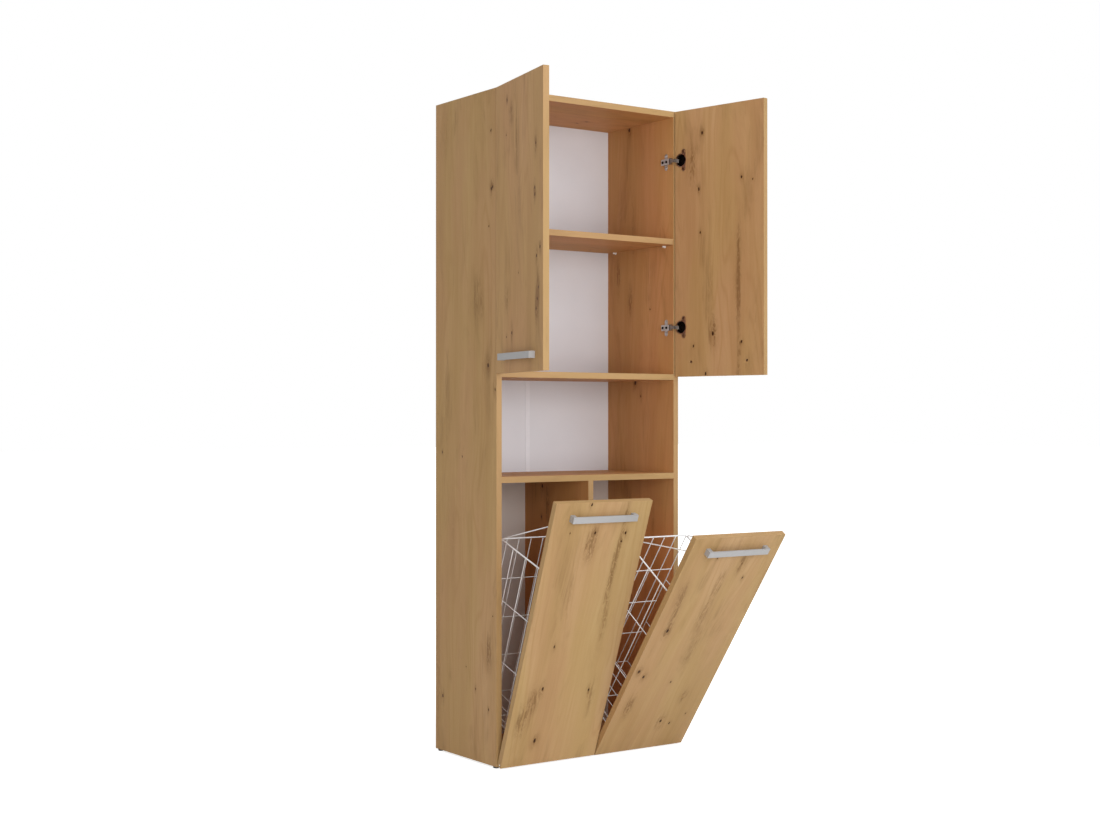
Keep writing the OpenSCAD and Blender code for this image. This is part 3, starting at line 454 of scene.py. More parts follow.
LEFT_SIDE = [
    (-123, 1639, 3, 12, 1, 0.4), (-131, 1492, 3.5, 14, 1, 0.5), (-124, 1488, 4, 22, 1, 0.6),
    (-113, 1393, 2.5, 10, 1, 0.3), (-112, 1034, 5, 26, 1, 0.8), (-142, 971, 3, 26, 0.8, 0.8),
    (-57, 1215, 9, 55, 0, 0.6), (-80, 1190, 6, 40, 0, 0.4), (100, 1654, 6, 60, 0, 0.3),
    (117, 806, 2.5, 10, 1, 0.3), (15, 796, 1.6, 8, 1, 0.2), (-131, 389, 2, 10, 0.9, 0.3),
    (-115, 290, 7, 42, 0.35, 0.9), (-51, 192, 1.8, 12, 1, 0.5), (114, 152, 4, 20, 1, 0.6),
    (-112, 147, 3, 12, 1, 0.4), (-5, 245, 1.8, 8, 0.8, 0.2), (60, 560, 7, 90, 0, 0.25),
    # The long dark streak by the rear edge is painted shade, not grain
    (137, 190, 6, 260, 0, 0.4),
]
LEFT_DOOR = [
    (73, 1699, 3.5, 14, 1, 0.5), (100, 1661, 5, 30, 0.3, 0.7), (69, 1611, 2, 10, 0.7, 0.3),
    (256, 1564, 4, 26, 0.7, 0.8), (248, 1457, 3, 20, 1, 0.7), (249, 1440, 3.5, 20, 1, 0.7),
    (280, 1310, 4, 20, 1, 0.6), (259, 1290, 4, 22, 1, 0.6), (146, 1258, 1.6, 8, 0.8, 0.2),
    (270, 1214, 4, 40, 0.8, 0.7), (263, 1186, 5, 40, 0.7, 0.9), (257, 1163, 4, 30, 0.8, 0.8),
    (70, 1192, 6, 34, 0.2, 0.7), (104, 1111, 3.5, 26, 0.9, 0.6), (70, 1102, 2.5, 12, 0.8, 0.4),
    (135, 1586, 4, 70, 0, 0.5), (151, 1451, 4, 60, 0, 0.4),
]
LEFT_HAMPER = [
    (-190, 724, 3.5, 16, 1, 0.5), (-162, 647, 3.5, 18, 1, 0.7), (-240, 649, 1.8, 8, 0.9, 0.3),
    (-66, 643, 3.5, 14, 1, 0.5), (-74, 620, 2.5, 16, 1, 0.5), (-212, 337, 3, 14, 1, 0.4),
    (-220, 219, 4.5, 20, 1, 0.6), (-69, 201, 3, 18, 1, 0.5), (-208, 69, 6, 22, 1, 0.7),
    (-170, 612, 9, 42, 0.15, 0.9), (-243, 186, 9, 34, 0.1, 0.9), (-262, 130, 10, 38, 0.1, 0.8),
    (-75, 690, 2.5, 44, 0, 0.9), (-79, 580, 3, 60, 0, 0.9), (-81, 490, 3.5, 60, 0, 0.8),
    (-70, 395, 4, 60, 0, 0.6), (-200, 480, 6, 70, 0, 0.3), (-60, 170, 5, 60, 0, 0.4),
]
RIGHT_HAMPER = [
    (51, 430, 6, 24, 1, 0.9), (19, 294, 5, 16, 0.9, 0.7), (44, 273, 4, 16, 1, 0.7),
    (147, 243, 2.5, 10, 1, 0.3), (182, 98, 6, 26, 0.8, 0.9), (218, 85, 2.5, 10, 1, 0.4),
    (218, 673, 4, 12, 1, 0.4), (195, 641, 5, 30, 0.5, 0.8), (221, 593, 3, 12, 0.9, 0.5),
    (150, 580, 5, 42, 0.1, 0.7), (145, 470, 7, 90, 0, 0.6), (170, 360, 7, 70, 0, 0.4),
    (51, 475, 4, 40, 0, 0.8), (42, 546, 7, 44, 0.15, 0.8), (39, 170, 7, 36, 0.35, 0.8),
    (220, 184, 6, 24, 0.3, 0.7), (259, 114, 2, 8, 0.9, 0.3), (102, 664, 1.8, 8, 0.9, 0.2),
]
RIGHT_DOOR_INNER = [
    (93, 1675, 4.5, 20, 1, 0.6), (81, 1523, 4, 16, 1, 0.5), (88, 1404, 3, 12, 1, 0.4),
    (226, 1542, 3, 12, 1, 0.4), (262, 1533, 2, 8, 0.9, 0.2), (225, 1102, 3.5, 12, 1, 0.4),
    (63, 1095, 2.5, 10, 0.9, 0.4), (130, 1127, 7, 40, 0.75, 1), (105, 1019, 3.5, 12, 1, 0.4),
    (218, 1370, 2.5, 60, 0, 0.7), (214, 1273, 3, 70, 0, 1), (216, 1200, 2.5, 50, 0, 0.8),
    (217, 1060, 2, 60, 0, 0.8), (56, 1593, 9, 50, 0, 0.7), (120, 1240, 5, 80, 0, 0.3),
]
RIGHT_SIDE_INNER = [
    (48, 1722, 4.5, 22, 1, 0.6), (100, 1310, 4, 50, 0, 0.7), (46, 1230, 5, 46, 0, 0.7),
    (-46, 1204, 2, 8, 1, 0.3), (21, 998, 6, 18, 0.9, 0.7), (-5, 960, 3.5, 20, 0.8, 0.5),
    (30, 1450, 4, 90, 0, 0.4), (-60, 560, 5, 90, 0, 0.4), (70, 640, 4, 80, 0, 0.4),
]
DIVIDER_LEFT = [
    (65, 710, 4.5, 16, 1, 0.6), (70, 625, 3, 12, 1, 0.4), (41, 668, 5, 44, 0.1, 0.8),
    (-40, 400, 4, 60, 0, 0.5), (20, 300, 3, 14, 1, 0.5),
]


# ---- meshes
def new_object(name, data):
    """An object with the data, linked to the scene."""
    made = bpy.data.objects.new(name, data)
    bpy.context.scene.collection.objects.link(made)
    return made


def new_piece(name, body, slot, material, vertices, faces):
    """A mesh object from arrays, riding on its body."""
    mesh = bpy.data.meshes.new(name)
    mesh.from_pydata(vertices.tolist(), [], faces.tolist())
    mesh.materials.append(material)
    piece = new_object(name, mesh)
    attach(piece, body)
    return piece


def cad_arrays(node):
    """Points and triangles of a CAD solid, with coincident points merged and
    collapsed triangles left out."""
    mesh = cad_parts[node].data
    points = np.empty(len(mesh.vertices) * 3)
    mesh.vertices.foreach_get("co", points)
    corners = np.empty(len(mesh.loops), int)
    mesh.loops.foreach_get("vertex_index", corners)
    points, index = np.unique(np.round(points.reshape(-1, 3), 6), axis=0, return_inverse=True)
    faces = index.reshape(-1)[corners].reshape(-1, 3)
    return points, faces[np.all(faces != np.roll(faces, 1, axis=1), axis=1)]


def face_normals(points, faces):
    """Unit normals: cross products of two sides of each triangle."""
    a, b, c = (points[faces[:, k]] for k in range(3))
    normals = np.cross(b - a, c - a)
    return normals / np.maximum(np.linalg.norm(normals, axis=1), 1e-20)[:, None]


def smoothed(piece):
    """Shades all of the piece's faces smooth."""
    piece.data.polygons.foreach_set("use_smooth", np.ones(len(piece.data.polygons), bool))
    return piece


def eased(piece, width):
    """Breaks the piece's sharp edges with a narrow bevel and shades it
    smooth; flat faces keep their own normals."""
    smoothed(piece)
    bevel = piece.modifiers.new("eased edges", "BEVEL")
    bevel.width = width
    bevel.segments = 2
    bevel.limit_method = "ANGLE"
    bevel.angle_limit = EASED_ANGLE
    bevel.harden_normals = True
    return piece


def cad_piece(name, node, body, slot, material, ease):
    """A CAD solid with eased edges and smooth round walls, in its place."""
    points, faces = cad_arrays(node)
    piece = eased(new_piece(name, body, slot, material, points, faces), ease)
    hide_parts(node)
    return piece


def board_piece(node, body, material, place):
    """A board with eased edges and a map in metres: u across and v along its
    grain. The far face and the edges lie further along u, and on the short
    edges the grain runs the long way of the edge. Its attributes tell raw
    chipboard, edging and the faces inside the carcass."""
    piece = cad_piece(node + "_board", node, body, "oak_board", material, BOARD_EASE)
    points, faces = cad_arrays(node)
    carcass = body == "carcass"
    world = face_normals(points, faces)
    normals = place.turn(world)
    corners = place.local(points)[faces]
    across, through, along = np.moveaxis(corners, 2, 0)
    on_long, on_face, on_short = (np.abs(normals) > FACING).T
    u = across + np.where(normals[:, 1] > 0, FAR / 1000, 0.0)[:, None]
    u = np.where(on_face[:, None], u, through + LONG_EDGE)
    u = np.where(on_short[:, None], through + SHORT_EDGE, u)
    v = np.where(on_short[:, None], across, along)
    layer = piece.data.uv_layers.new(name="board")
    layer.data.foreach_set("uv", np.stack([u, v], axis=2).ravel())
    # Faces that lie on no side of the board's box are walls of bores. Rear
    # edges of the carcass and feet of the side panels have no edging either
    low, high = corners.min(axis=(0, 1)), corners.max(axis=(0, 1))
    at_low, at_high = (np.all(abs(corners - end) < TOUCH, axis=1) for end in (low, high))
    raw = ~np.any(at_low | at_high, axis=1)
    raw |= carcass & (world[:, 1] > FACING)
    raw |= node.endswith("side_panel") & (world[:, 2] < -FACING)
    edging = (on_long | on_short) & ~raw
    # Faces inside the carcass take painted shade in the oak decor
    outside = SIDE_FACE if place is UPRIGHT else TOP_FACE
    inside = carcass & on_face & np.all(np.abs(through) < outside, axis=1)
    for title, values in (("raw", raw), ("edging", edging), ("inside", inside)):
        layer = piece.data.attributes.new(title, "FLOAT", "FACE")
        layer.data.foreach_set("value", values.astype(float))


def skin(rings, closed=False):
    """Points and triangles over rings of points, given as rows x columns x 3:
    two triangles for each cell between neighbouring rings. Open ends are
    closed by a fan round the mean point of their ring."""
    rows, columns = rings.shape[:2]
    row = np.arange(rows if closed else rows - 1)[:, None]
    column = np.arange(columns)
    right = (column + 1) % columns
    after = (row + 1) % rows * columns
    a, b, c, d = row * columns + column, row * columns + right, after + right, after + column
    faces = [np.stack(cell, axis=2).reshape(-1, 3) for cell in ([a, c, b], [a, d, c])]
    points = rings.reshape(-1, 3)
    if not closed:
        last = (rows - 1) * columns
        pole = np.full(columns, len(points))
        faces.append(np.stack([column, right, pole], axis=1))
        faces.append(np.stack([last + right, last + column, pole + 1], axis=1))
        points = np.vstack([points, rings[0].mean(axis=0), rings[-1].mean(axis=0)])
    return points, np.vstack(faces)


def tube(path, radius, ref, closed=False, sides=14):
    """Round wire: a circle carried along the path, square to it. At an open
    end the ring at angle a has radius r cos a, r (1 - sin a) from the tip."""
    path = np.asarray(path, float)
    radii = np.full(len(path), radius)
    if not closed:
        angle = np.radians([75, 45, 15, 0])
        inset, cap = radius * (1 - np.sin(angle))[:, None], radius * np.cos(angle)
        first, last = path[1] - path[0], path[-1] - path[-2]
        start = path[0] + inset * first / np.linalg.norm(first)
        end = path[-1] - inset * last / np.linalg.norm(last)
        path = np.vstack([start, path[1:-1], end[::-1]])
        radii = np.concatenate([cap, radii[1:-1], cap[::-1]])
    ahead, behind = np.roll(path, -1, axis=0), np.roll(path, 1, axis=0)
    if not closed:
        ahead[-1], behind[0] = path[-1], path[0]
    tangent = ahead - behind
    tangent /= np.linalg.norm(tangent, axis=1)[:, None]
    side = np.cross(tangent, ref)
    side /= np.linalg.norm(side, axis=1)[:, None]
    top = np.cross(side, tangent)
    turn = np.linspace(0, 2 * math.pi, sides, endpoint=False)
    circle = np.cos(turn)[:, None] * side[:, None] + np.sin(turn)[:, None] * top[:, None]
    return skin(path[:, None] + radii[:, None, None] * circle, closed)


def piled(name, body, slot, material, node, meshes):
    """One piece of all the meshes, with smooth walls, instead of the node."""
    starts = np.cumsum([0] + [len(points) for points, _ in meshes])
    points = np.vstack([points for points, _ in meshes])
    faces = np.vstack([faces + start for (_, faces), start in zip(meshes, starts)])
    piece = smoothed(new_piece(name, body, slot, material, points, faces))
    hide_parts(node)
    return piece


# ---- other finishes
def white_coat():
    """Powder coat on wire: an even white with a fine orange peel."""
    t = new_material("white powder coat", Coat_Weight=0.25, Coat_Roughness=0.25)
    where = t.surface_place()
    peel = t.noise(where, scale=1400.0)
    dust = t.noise(where, scale=18.0, detail=3.0)
    white = t.mix(t.range(dust, 0.35, 0.75), tone(253, 253, 252), tone(246, 245, 242))
    return t.finish(white, t.plus(0.32, t.times(peel, 0.12)), peel, ORANGE_PEEL, 0.4)


def moulded(name, light, dark, rough):
    """Moulded plastic: a faint mottle and a spark-eroded grain."""
    t = new_material(name)
    where = t.surface_place()
    mottle = t.noise(where, scale=60.0, detail=3.0)
    grain = t.noise(where, scale=2600.0, detail=1.0)
    rough = t.plus(rough, t.times(mottle, 0.15))
    return t.finish(t.mix(mottle, light, dark), rough, grain, MOULD_GRAIN, 0.35)


def plated(name, light, dark, rough, brushed=(1.0, 1.0, 1.0), fine=900.0, metal=1.0):
    """Bare or plated metal: cloudy tone, and scratches as a noise that is
    stretched the way the part was drawn or brushed."""
    t = new_material(name, Metallic=metal)
    where = t.surface_place()
    cloud = t.noise(where, scale=70.0, detail=3.0)
    scratch = t.noise(t.scaled(where, *brushed), scale=fine, detail=3.0, rough=0.65)
    wear = t.plus(t.times(cloud, 0.6), t.times(scratch, 0.4))
    colour = t.mix(wear, light, dark)
    return t.finish(colour, t.plus(rough, t.times(scratch, 0.16)), scratch, SCRATCH)


# Along y: the dark joint line across the hinge arms as it comes and goes, and
# where the painted reflection of the door's wood on them starts
LINE_COMES, LINE_GOES, WOOD_REFLECTION_STARTS = (-0.1428, -0.1420), (-0.1392, -0.1400), (-0.1415, -0.1405)


def arm_plating():
    """Arm of a hinge: bright nickel behind its dark joint line; in front of it
    the nickel is browner, a painted reflection of the door's wood."""
    t = new_material("arm nickel", Metallic=1.0)
    where = t.surface_place()
    cloud = t.noise(where, scale=180.0, detail=3.0)
    y = t.parts(where)[1]
    # Painted reflection of the door's wood, on the front of the arms
    painted_wood_reflection = t.mix(cloud, tone(156, 144, 134), tone(120, 108, 99))
    bright = t.mix(cloud, tone(216, 210, 205), tone(186, 180, 174))
    line = t.times(t.range(y, *LINE_COMES), t.range(y, *LINE_GOES))
    metal = t.mix(t.range(y, *WOOD_REFLECTION_STARTS), painted_wood_reflection, bright)
    colour = t.mix(line, metal, tone(52, 42, 38))
    return t.finish(colour, t.plus(0.30, t.times(cloud, 0.14)), cloud, SCRATCH, 0.4)


def hinge_screw_plating():
    """Hinge screws: zinc in the plates, black oxide in the arms, which stand
    nearer to the middle of the carcass."""
    t = new_material("hinge screw plating", Metallic=1.0)
    where = t.surface_place()
    cloud = t.noise(where, scale=240.0)
    arm = t.math("LESS_THAN", t.math("ABSOLUTE", t.parts(where)[0]), ARM_HEAD_X)
    zinc = t.mix(cloud, tone(206, 206, 208), tone(168, 164, 162))
    return t.finish(t.mix(arm, zinc, tone(40, 35, 33)), t.plus(0.26, t.times(cloud, 0.16)))


def cup_plating():
    """Cup of a hinge: nickel, painted brown on its flange as a reflection of the
    wood round it, and painted shade, near black, down inside.
    """
    t = new_material("cup nickel", Metallic=1.0)
    where = t.surface_place()
    cloud = t.noise(where, scale=160.0, detail=3.0)
    # Painted shade: the cup goes near black the deeper it lies
    recess = t.range(t.face_value("depth"), 0.12, 0.50)
    # The flange's brown is a painted reflection of the door's wood
    flange = t.mix(cloud, tone(190, 154, 132), tone(144, 114, 96))
    colour = t.mix(recess, flange, tone(30, 25, 23))
    rough = t.plus(0.34, t.plus(t.times(cloud, 0.12), t.times(recess, 0.25)))
    return t.finish(colour, rough, cloud, SCRATCH, 0.4)


def back_sheet_finish():
    """Hardboard: white lacquer on the front, with painted shade that turns it a
    little browner down in the bays, and brown fibre on the rear."""
    t = new_material("lacquered hardboard")
    coordinates = t.add("ShaderNodeTexCoord").outputs
    where = coordinates["Object"]
    rear = t.math("GREATER_THAN", t.parts(coordinates["Normal"])[1], 0.5)
    soft = t.noise(where, scale=7.0, detail=3.0)
    felt = t.noise(where, scale=420.0, detail=4.0, rough=0.7)
    white = t.mix(soft, tone(218, 217, 220), tone(209, 208, 211))
    # Painted shade: browner down in the bays, for light bounced off the oak
    painted_bay_shade = t.range(t.parts(where)[2], *SHEET_BAY_SHADE)
    tint = t.mix(painted_bay_shade, WHITE, (1.0, 0.92, 0.82, 1.0))
    white = t.mix(1.0, white, tint, "MULTIPLY")
    fibres = ((0.30, tone(92, 62, 40)), (0.55, tone(134, 98, 66)), (0.75, tone(164, 128, 92)))
    colour = t.mix(rear, white, t.ramp(felt, fibres))
    rough = t.plus(0.38, t.plus(t.times(felt, 0.1), t.times(rear, 0.35)))
    return t.finish(colour, rough, t.times(felt, t.plus(0.12, rear)), FELT)


def beech():
    """Plain turned beech with short flecks along the dowel."""
    t = new_material("beech")
    where = t.surface_place()
    fleck = t.noise(t.scaled(where, 0.08, 1.0), scale=1500.0)
    colour = t.mix(fleck, tone(214, 176, 134), tone(176, 132, 92))
    return t.finish(colour, t.plus(0.5, t.times(fleck, 0.2)))


WIRE = white_coat()
WHITE_PLASTIC = moulded("white plastic", tone(236, 233, 228), tone(222, 218, 212), 0.38)
STRIP_PLASTIC = moulded("strip plastic", tone(226, 225, 228), tone(217, 216, 219), 0.38)
BLACK_PLASTIC = moulded("black plastic", tone(46, 43, 42), tone(30, 28, 28), 0.42)
NICKEL = plated(
    "satin nickel", tone(204, 198, 192), tone(176, 168, 160), 0.32, brushed=(1.0, 1.0, 0.15)
)
ARM_NICKEL = arm_plating()
HINGE_SCREW = hinge_screw_plating()
CUP_NICKEL = cup_plating()
ALUMINIUM = plated(
    "satin aluminium", tone(172, 170, 169), tone(160, 158, 156), 0.50,
    brushed=(0.04, 0.04, 1.0), fine=2400.0, metal=0.12,
)
ZINC = plated("zinc plate", tone(208, 212, 218), tone(172, 176, 180), 0.22)
BRONZE = plated("brown plated steel", tone(150, 120, 92), tone(104, 80, 60), 0.30)
HARDBOARD = back_sheet_finish()
BEECH = beech()

# ---- boards
# Where drawn marks may lie: u from, u to, v from, v to
ON_SIDE, ON_DIVIDER = (-140, 140, 40, 1700), (-140, 140, 40, 720)
ON_LEVEL, ON_DOOR = (-140, 140, -270, 270), (15, 280, 1030, 1730)
ON_LEFT_FRONT, ON_RIGHT_FRONT = (-280, -20, 20, 700), (20, 280, 20, 700)


def drawn(seed, ranges, count):
    """Drawn marks for the far face of a board."""
    return far(scattered(seed, *ranges, count))


def level(seed, near_count, far_count):
    """Body, frame and drawn marks of a level board."""
    marks = scattered(seed, *ON_LEVEL, near_count) + drawn(seed + 1, ON_LEVEL, far_count)
    return "carcass", LEVEL, marks


BOARDS = {
    "left_side_panel": ("carcass", UPRIGHT, LEFT_SIDE + drawn(11, ON_SIDE, 8)),
    "right_side_panel": ("carcass", UPRIGHT, RIGHT_SIDE_INNER + drawn(12, ON_SIDE, 14)),
    "hamper_divider": ("carcass", UPRIGHT, DIVIDER_LEFT + drawn(13, ON_DIVIDER, 4)),
    "top_panel": level(14, 4, 4),
    "bottom_panel": level(16, 3, 3),
    "niche_top_shelf": level(18, 4, 3),
    "niche_floor_shelf": level(20, 3, 4),
    "adjustable_shelf": level(22, 4, 4),
    "left_door": ("left_door", door_place(LEFT), LEFT_DOOR + drawn(24, ON_DOOR, 12)),
    "right_door": (
        "right_door", door_place(RIGHT), far(RIGHT_DOOR_INNER) + scattered(25, *ON_DOOR, 12),
    ),
    "left_hamper_front": (
        "left_hamper", hamper_place(LEFT), LEFT_HAMPER + drawn(26, ON_LEFT_FRONT, 9),
    ),
    "right_hamper_front": (
        "right_hamper", hamper_place(RIGHT), RIGHT_HAMPER + drawn(27, ON_RIGHT_FRONT, 9),
    ),
}
# Shares of red, green and blue on the faces of some boards
TINTS = {
    "left_door": (1.07, 1.02, 1.0), "right_door": (1.06, 1.02, 1.02),
    "left_hamper_front": (0.97, 1.02, 1.07), "right_hamper_front": (0.97, 1.01, 1.05),
    "right_side_panel": (1.04, 1.07, 1.12),
}
# Step of the decor's seed from board to board
SEED_STEP = 3.7
for order, (node, (body, place, marks)) in enumerate(BOARDS.items()):
    decor = oak(node, marks, SEED_STEP * order, TINTS.get(node, WHITE[:3]), place is UPRIGHT)
    board_piece(node, body, decor, place)

# ---- pieces kept from the CAD shape
PLASTIC = ("white_plastic", WHITE_PLASTIC, PLASTIC_EASE)
HANDLE = ("handle_aluminium", ALUMINIUM, HANDLE_EASE)
# Node, body, slot, finish and ease, where {} stands for left and right
KEPT = (
    ("back_joint_strips", "carcass", "white_plastic", STRIP_PLASTIC, FINE_EASE),
    ("shelf_pins", "carcass", *PLASTIC),
    ("floor_glides", "carcass", "black_plastic", BLACK_PLASTIC, PLASTIC_EASE),
    ("{}_basket_clips", "{}_hamper", *PLASTIC),
    ("{}_door_handle", "{}_door", *HANDLE),
    ("{}_hamper_handle", "{}_hamper", *HANDLE),
    ("{}_hinge_plates", "carcass", "hinge_nickel", NICKEL, STEEL_EASE),
    ("{}_hinge_arms", "carcass", "hinge_nickel", ARM_NICKEL, FINE_EASE),
    ("hamper_pivot_brackets", "carcass", "zinc_steel", ZINC, STEEL_EASE),
)
for row, body, *looks in KEPT:
    for word in SIDES if "{}" in row else ("",):
        node = row.format(word)
        cad_piece(node + "_eased", node, body.format(word), *looks)

# Cups carry how deep each point lies behind the door's inner face, from 0 to 1
for word, side in SIDES.items():
    node = word + "_hinge_cups"
    cup = cad_piece(node + "_eased", node, word + "_door", "hinge_nickel", CUP_NICKEL, FINE_EASE)
    points, _ = cad_arrays(node)
    depth = (DOOR_DEPTH - door_place(side).local(points)[:, 1]) / CUP_DEPTH
    layer = cup.data.attributes.new("depth", "FLOAT", "POINT")
    layer.data.foreach_set("value", np.clip(depth, 0.0, 1.0))

# Hidden or small solids keep their CAD mesh under a new finish
for node, finish in (
    ("cam_locks", ZINC), ("cam_bolts", ZINC), ("back_nails", ZINC), ("hamper_pivot_pins", ZINC),
    ("left_hinge_rivets", ZINC), ("right_hinge_rivets", ZINC), ("wood_dowels", BEECH),
    ("left_back_sheet", HARDBOARD), ("right_back_sheet", HARDBOARD),
):
    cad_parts[node].material_slots[0].material = finish


# ---- screws
def screw_axes(node):
    """For each screw of a CAD node, by whole islands of its mesh: the foot,
    the direction to the head, length, shank and head radius and head height.
    The axis is the one of the cloud's three main directions whose spread
    stands apart from the other two."""
    points, faces = cad_arrays(node)
    label = np.arange(len(points))
    while True:
        low = label[faces].min(axis=1)
        spread = label.copy()
        np.minimum.at(spread, faces.ravel(), np.repeat(low, 3))
        spread = spread[spread]
        if np.array_equal(spread, label):
            break
        label = spread
    for island in np.unique(label):
        cloud = points[label == island]
        centre = (cloud.max(axis=0) + cloud.min(axis=0)) / 2
        values, vectors = np.linalg.eigh(np.cov((cloud - cloud.mean(axis=0)).T))
        lone = 2 if values[2] - values[1] > values[1] - values[0] else 0
        axis = vectors[:, lone]
        along = (cloud - centre) @ axis
        rim = np.linalg.norm(cloud - centre - along[:, None] * axis, axis=1)
        head = rim > rim.max() - TOUCH
        if along[head].mean() < 0:
            axis, along = -axis, -along
        ends = rim[along < along.min() + TOUCH]
        foot = centre + along.min() * axis
        yield foot, axis, np.ptp(along), ends.max(), rim.max(), np.ptp(along[head])


# Rings of a screw head, its dome and its cross, as shares of radius and height
HEAD_RINGS = (0.08, 0.16, 0.24, 0.34, 0.44, 0.52, 0.60, 0.72, 0.84, 0.94, 1.0)
EDGE_HEIGHT, DOME_RISE, EDGE_DROP = 0.72, 0.28, 0.12
CROSS_WIDTH, CROSS_REACH, CROSS_DEPTH = 0.14, 0.54, 0.55
# Pitch of a thread; its root and a screw's tip as shares of the shank's radius
THREAD_PITCH, THREAD_ROOT, TIP = 0.0016, 0.8, 0.3


def cross_screw(foot, axis, length, shank, head, head_height):
    """Pan head with a cross recess on a threaded shank. The head is a polar
    grid whose height is a dome, less the depth of the cross where a point
    lies inside it; the shank's radius follows a saw-tooth along its length."""
    side = np.cross(axis, (0.3, 0.5, 0.81))
    side /= np.linalg.norm(side)
    top = np.cross(axis, side)
    around = np.linspace(0, 2 * math.pi, 24, endpoint=False)
    ring = np.array(HEAD_RINGS)[:, None] * head
    x, y = ring * np.cos(around), ring * np.sin(around)
    dome = head_height * (EDGE_HEIGHT + DOME_RISE * (1 - (ring / head) ** 2)) + 0 * x
    dome -= (ring > 0.97 * head) * EDGE_DROP * head_height
    width, reach = CROSS_WIDTH * head, CROSS_REACH * head
    inside = ((np.abs(x) < width) | (np.abs(y) < width)) & (ring < reach)
    dome -= inside * CROSS_DEPTH * head_height
    base = length - head_height
    turns = max(int(base / THREAD_PITCH), 2)
    height = np.linspace(base, 0.0, 2 * turns + 1)
    radius = np.where(np.arange(2 * turns + 1) % 2 == 0, shank, THREAD_ROOT * shank)
    radius[-1] = TIP * shank
    # The head's top, its underside, then the thread down to the foot
    radii = np.vstack([ring, head, radius[:, None]])
    heights = np.vstack([base + dome, np.append(base, height)[:, None] + 0 * around])
    rings = np.stack([radii * np.cos(around), radii * np.sin(around), heights], axis=2)
    points, faces = skin(rings)
    return foot + points @ np.stack([side, top, axis]), faces


def screws(stem, body, slot, finish):
    """One piece of cross screws, one on the axis of each CAD screw."""
    node = stem + "_screws"
    meshes = [cross_screw(*row) for row in screw_axes(node)]
    piece = piled(stem + "_cross_screws", body, slot, finish, node, meshes)
    piece.data.set_sharp_from_angle(angle=SHARP_ANGLE)


screws("hinge", "carcass", "zinc_steel", HINGE_SCREW)
screws("bracket", "carcass", "zinc_steel", ZINC)
for word in SIDES:
    screws(word + "_door", word + "_door", "bronze_steel", BRONZE)
    screws(word + "_hamper", word + "_hamper", "zinc_steel", ZINC)

# ---- wire baskets
# In the frame of a front: x across, y rearward from the inner face, z up from
# the lower edge. Wires sink into each other by WELD where they cross
BASKET_W, BASKET_D = 0.209, 0.247
RIM_H, FLOOR_H = 0.520, 0.067
RIM_R, MESH_R = 0.002, 0.00125
WELD = 0.0002
RIM_S = RIM_R + WELD
REAR_S = RIM_S + BASKET_D
CORNER = 0.006
HALF_W = BASKET_W / 2
CORNER_IN = CORNER * (1 - math.cos(math.radians(45)))
SIDE_X = HALF_W - CORNER_IN
REAR_Y = REAR_S - CORNER_IN
CROSS = 2 * MESH_R - WELD
BEAD_R = 1.25 * MESH_R
UPRIGHT_STEP, SIDE_STEP = 0.038, 0.060
UPRIGHTS = [HALF_W - k * UPRIGHT_STEP for k in range(1, 6)]
SIDE_UPRIGHTS = [REAR_S - k * SIDE_STEP for k in range(1, 5)]
WALL_Z0, WALL_Z1 = FLOOR_H + MESH_R, RIM_H - RIM_R


def levels(count):
    """Heights of the rails that divide a wall evenly."""
    return [FLOOR_H + k * (RIM_H - FLOOR_H) / (count + 1) for k in range(1, count + 1)]


def loop_path(z, steps=8):
    """Level rectangle with round corners: quarter circles joined by straights."""
    quarter = np.linspace(0, math.pi / 2, steps)
    arc = CORNER * np.stack([np.cos(quarter), np.sin(quarter)], axis=1)
    path = []
    for k, (cx, cy) in enumerate(((1, 1), (-1, 1), (-1, 0), (1, 0))):
        centre = np.array([cx * (HALF_W - CORNER), REAR_S - CORNER if cy else RIM_S + CORNER])
        c, s = math.cos(k * math.pi / 2), math.sin(k * math.pi / 2)
        path.append(centre + arc @ np.array([[c, s], [-s, c]]))
    flat = np.vstack(path)
    return np.column_stack([flat, np.full(len(flat), z)])


def bead(centre, radius):
    """Weld bead: a small sphere, as five rings of eight points."""
    polar = np.radians(np.arange(18, 180, 36))[:, None]
    turn = np.linspace(0, 2 * math.pi, 8, endpoint=False)
    x, y, z = np.sin(polar) * np.cos(turn), np.sin(polar) * np.sin(turn), np.cos(polar) + 0 * turn
    return skin(centre + np.stack([x, y, z], axis=2) * radius)


